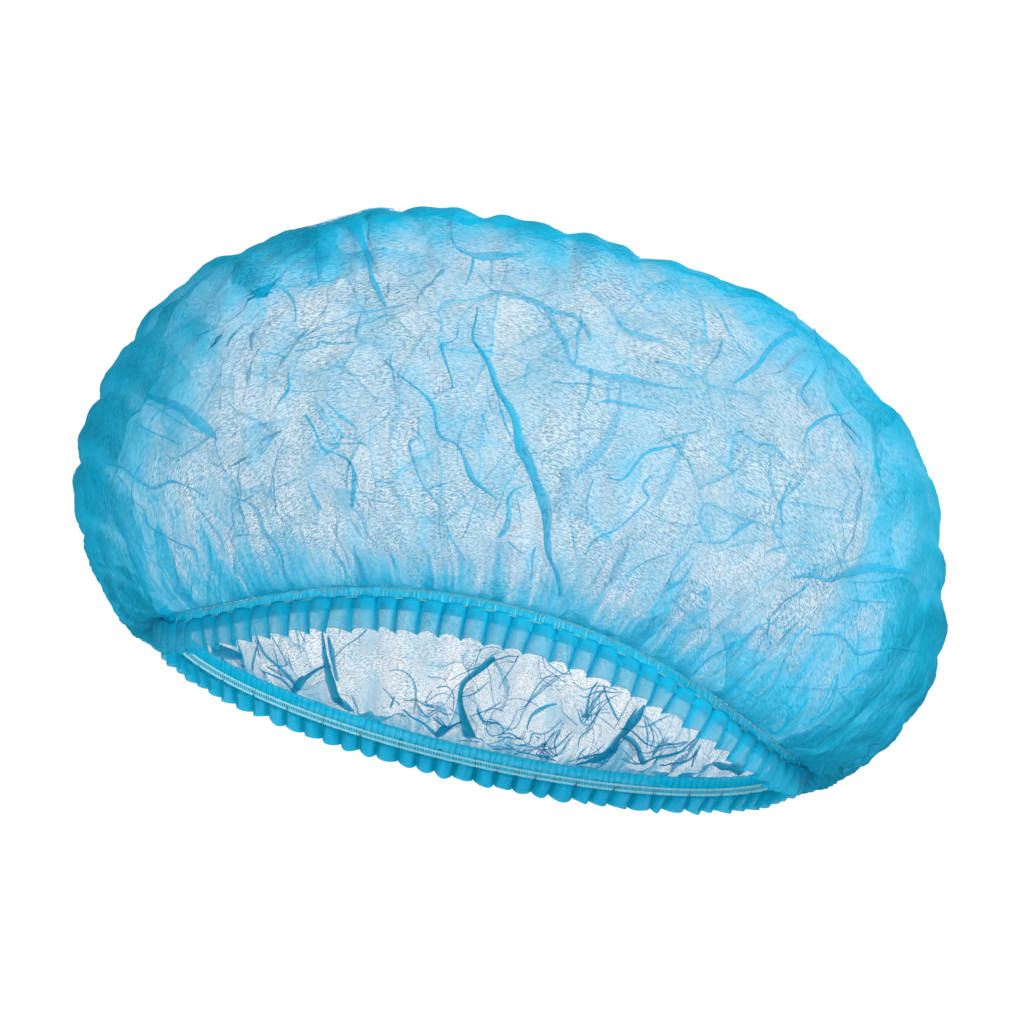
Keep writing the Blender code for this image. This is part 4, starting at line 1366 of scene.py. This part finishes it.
frill_layers = frill_layers * (1 + TURNED_IN * back)
closing = np.linspace(0, HEM_CLOSED, FRILL_ROWS) ** HEM_CLOSED_POWER
hem_cloth = spunbond("spunbond_hem", HEM_BLUE, cover=0.42, fibre_strength=0.5,
                     crease_strength=0.0, patchiness=0.2, thin_share=0.75)
frill = doubled_ring("hem_frill", frill_sheet, FRILL_SHEET_GAP * np.sqrt(1 - closing),
                     frill_layers, hem_cloth)
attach(frill, "root")
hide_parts("ruffle")

# The studio: a pale floor well below the cap, soft white light from all round, the strongest
# lamp in front on the right, weaker ones on the left and low in front, and one behind.
FLOOR_HEIGHT = -0.75
FLOOR_HALF = 6.0
FLOOR_GREY = (0.85, 0.85, 0.85, 1.0)
ROOM_LIGHT = (0.97, 0.99, 1.0, 1.0)
ROOM_POWER = 0.54
BACKDROP = (1.0, 1.0, 1.0, 1.0)
BACKDROP_POWER = 1.05
LIT_POINT = Vector((0, 0, 0.05))
Lamp = namedtuple("Lamp", "name place size power")
LAMPS = [
    Lamp(name="lamp_right", place=(0.9, -1.0, 0.6), size=0.5, power=20),
    Lamp(name="lamp_left", place=(-0.5, -1.0, 0.9), size=0.7, power=3.5),
    Lamp(name="lamp_low", place=(-0.1, -1.1, -0.4), size=0.6, power=7),
    Lamp(name="lamp_back", place=(0.4, 1.1, 0.9), size=0.7, power=10),
]

floor_mesh = bpy.data.meshes.new("floor")
floor_corners = [(across * FLOOR_HALF, along * FLOOR_HALF, FLOOR_HEIGHT)
                 for across, along in ((-1, -1), (1, -1), (1, 1), (-1, 1))]
floor_mesh.from_pydata(floor_corners, [], [(0, 1, 2, 3)])
floor = placed("floor", floor_mesh)
floor_paint = bpy.data.materials.new("pale_floor")
floor_paint.use_nodes = True
floor_shader = floor_paint.node_tree.nodes["Principled BSDF"]
floor_shader.inputs["Base Color"].default_value = FLOOR_GREY
floor_shader.inputs["Roughness"].default_value = 0.9
floor_mesh.materials.append(floor_paint)

world = bpy.data.worlds.new("studio")
world.use_nodes = True
bpy.context.scene.world = world
world.node_tree.nodes.clear()
add = named_nodes(world.node_tree)
lit_room = add("ShaderNodeBackground", Color=ROOM_LIGHT, Strength=ROOM_POWER)
seen_room = add("ShaderNodeBackground", Color=BACKDROP, Strength=BACKDROP_POWER)
straight = add("ShaderNodeLightPath").outputs["Is Camera Ray"]
room = add("ShaderNodeMixShader", i0=straight, i1=lit_room.outputs[0], i2=seen_room.outputs[0])
add("ShaderNodeOutputWorld", Surface=room.outputs[0])

for lamp in LAMPS:
    light = bpy.data.lights.new(lamp.name, "AREA")
    light.size = lamp.size
    light.energy = lamp.power
    lamp_object = placed(lamp.name, light)
    lamp_object.location = lamp.place
    aim = LIT_POINT - Vector(lamp.place)
    lamp_object.rotation_euler = aim.to_track_quat("-Z", "Y").to_euler()

# The camera looks up at the cap from a little below its opening, and is tilted so that the cap
# leans to the right.
camera_data = bpy.data.cameras.new("camera")
camera_data.sensor_width = SENSOR
camera_data.lens = LENS
camera_data.clip_start = 0.01
camera = placed("camera", camera_data)
pose = Matrix((camera_right, camera_up, -ahead)).transposed().to_4x4()
pose.translation = viewpoint
camera.matrix_world = pose
bpy.context.scene.camera = camera
bpy.context.scene.view_settings.view_transform = "Standard"
bpy.context.scene.cycles.transparent_max_bounces = 32
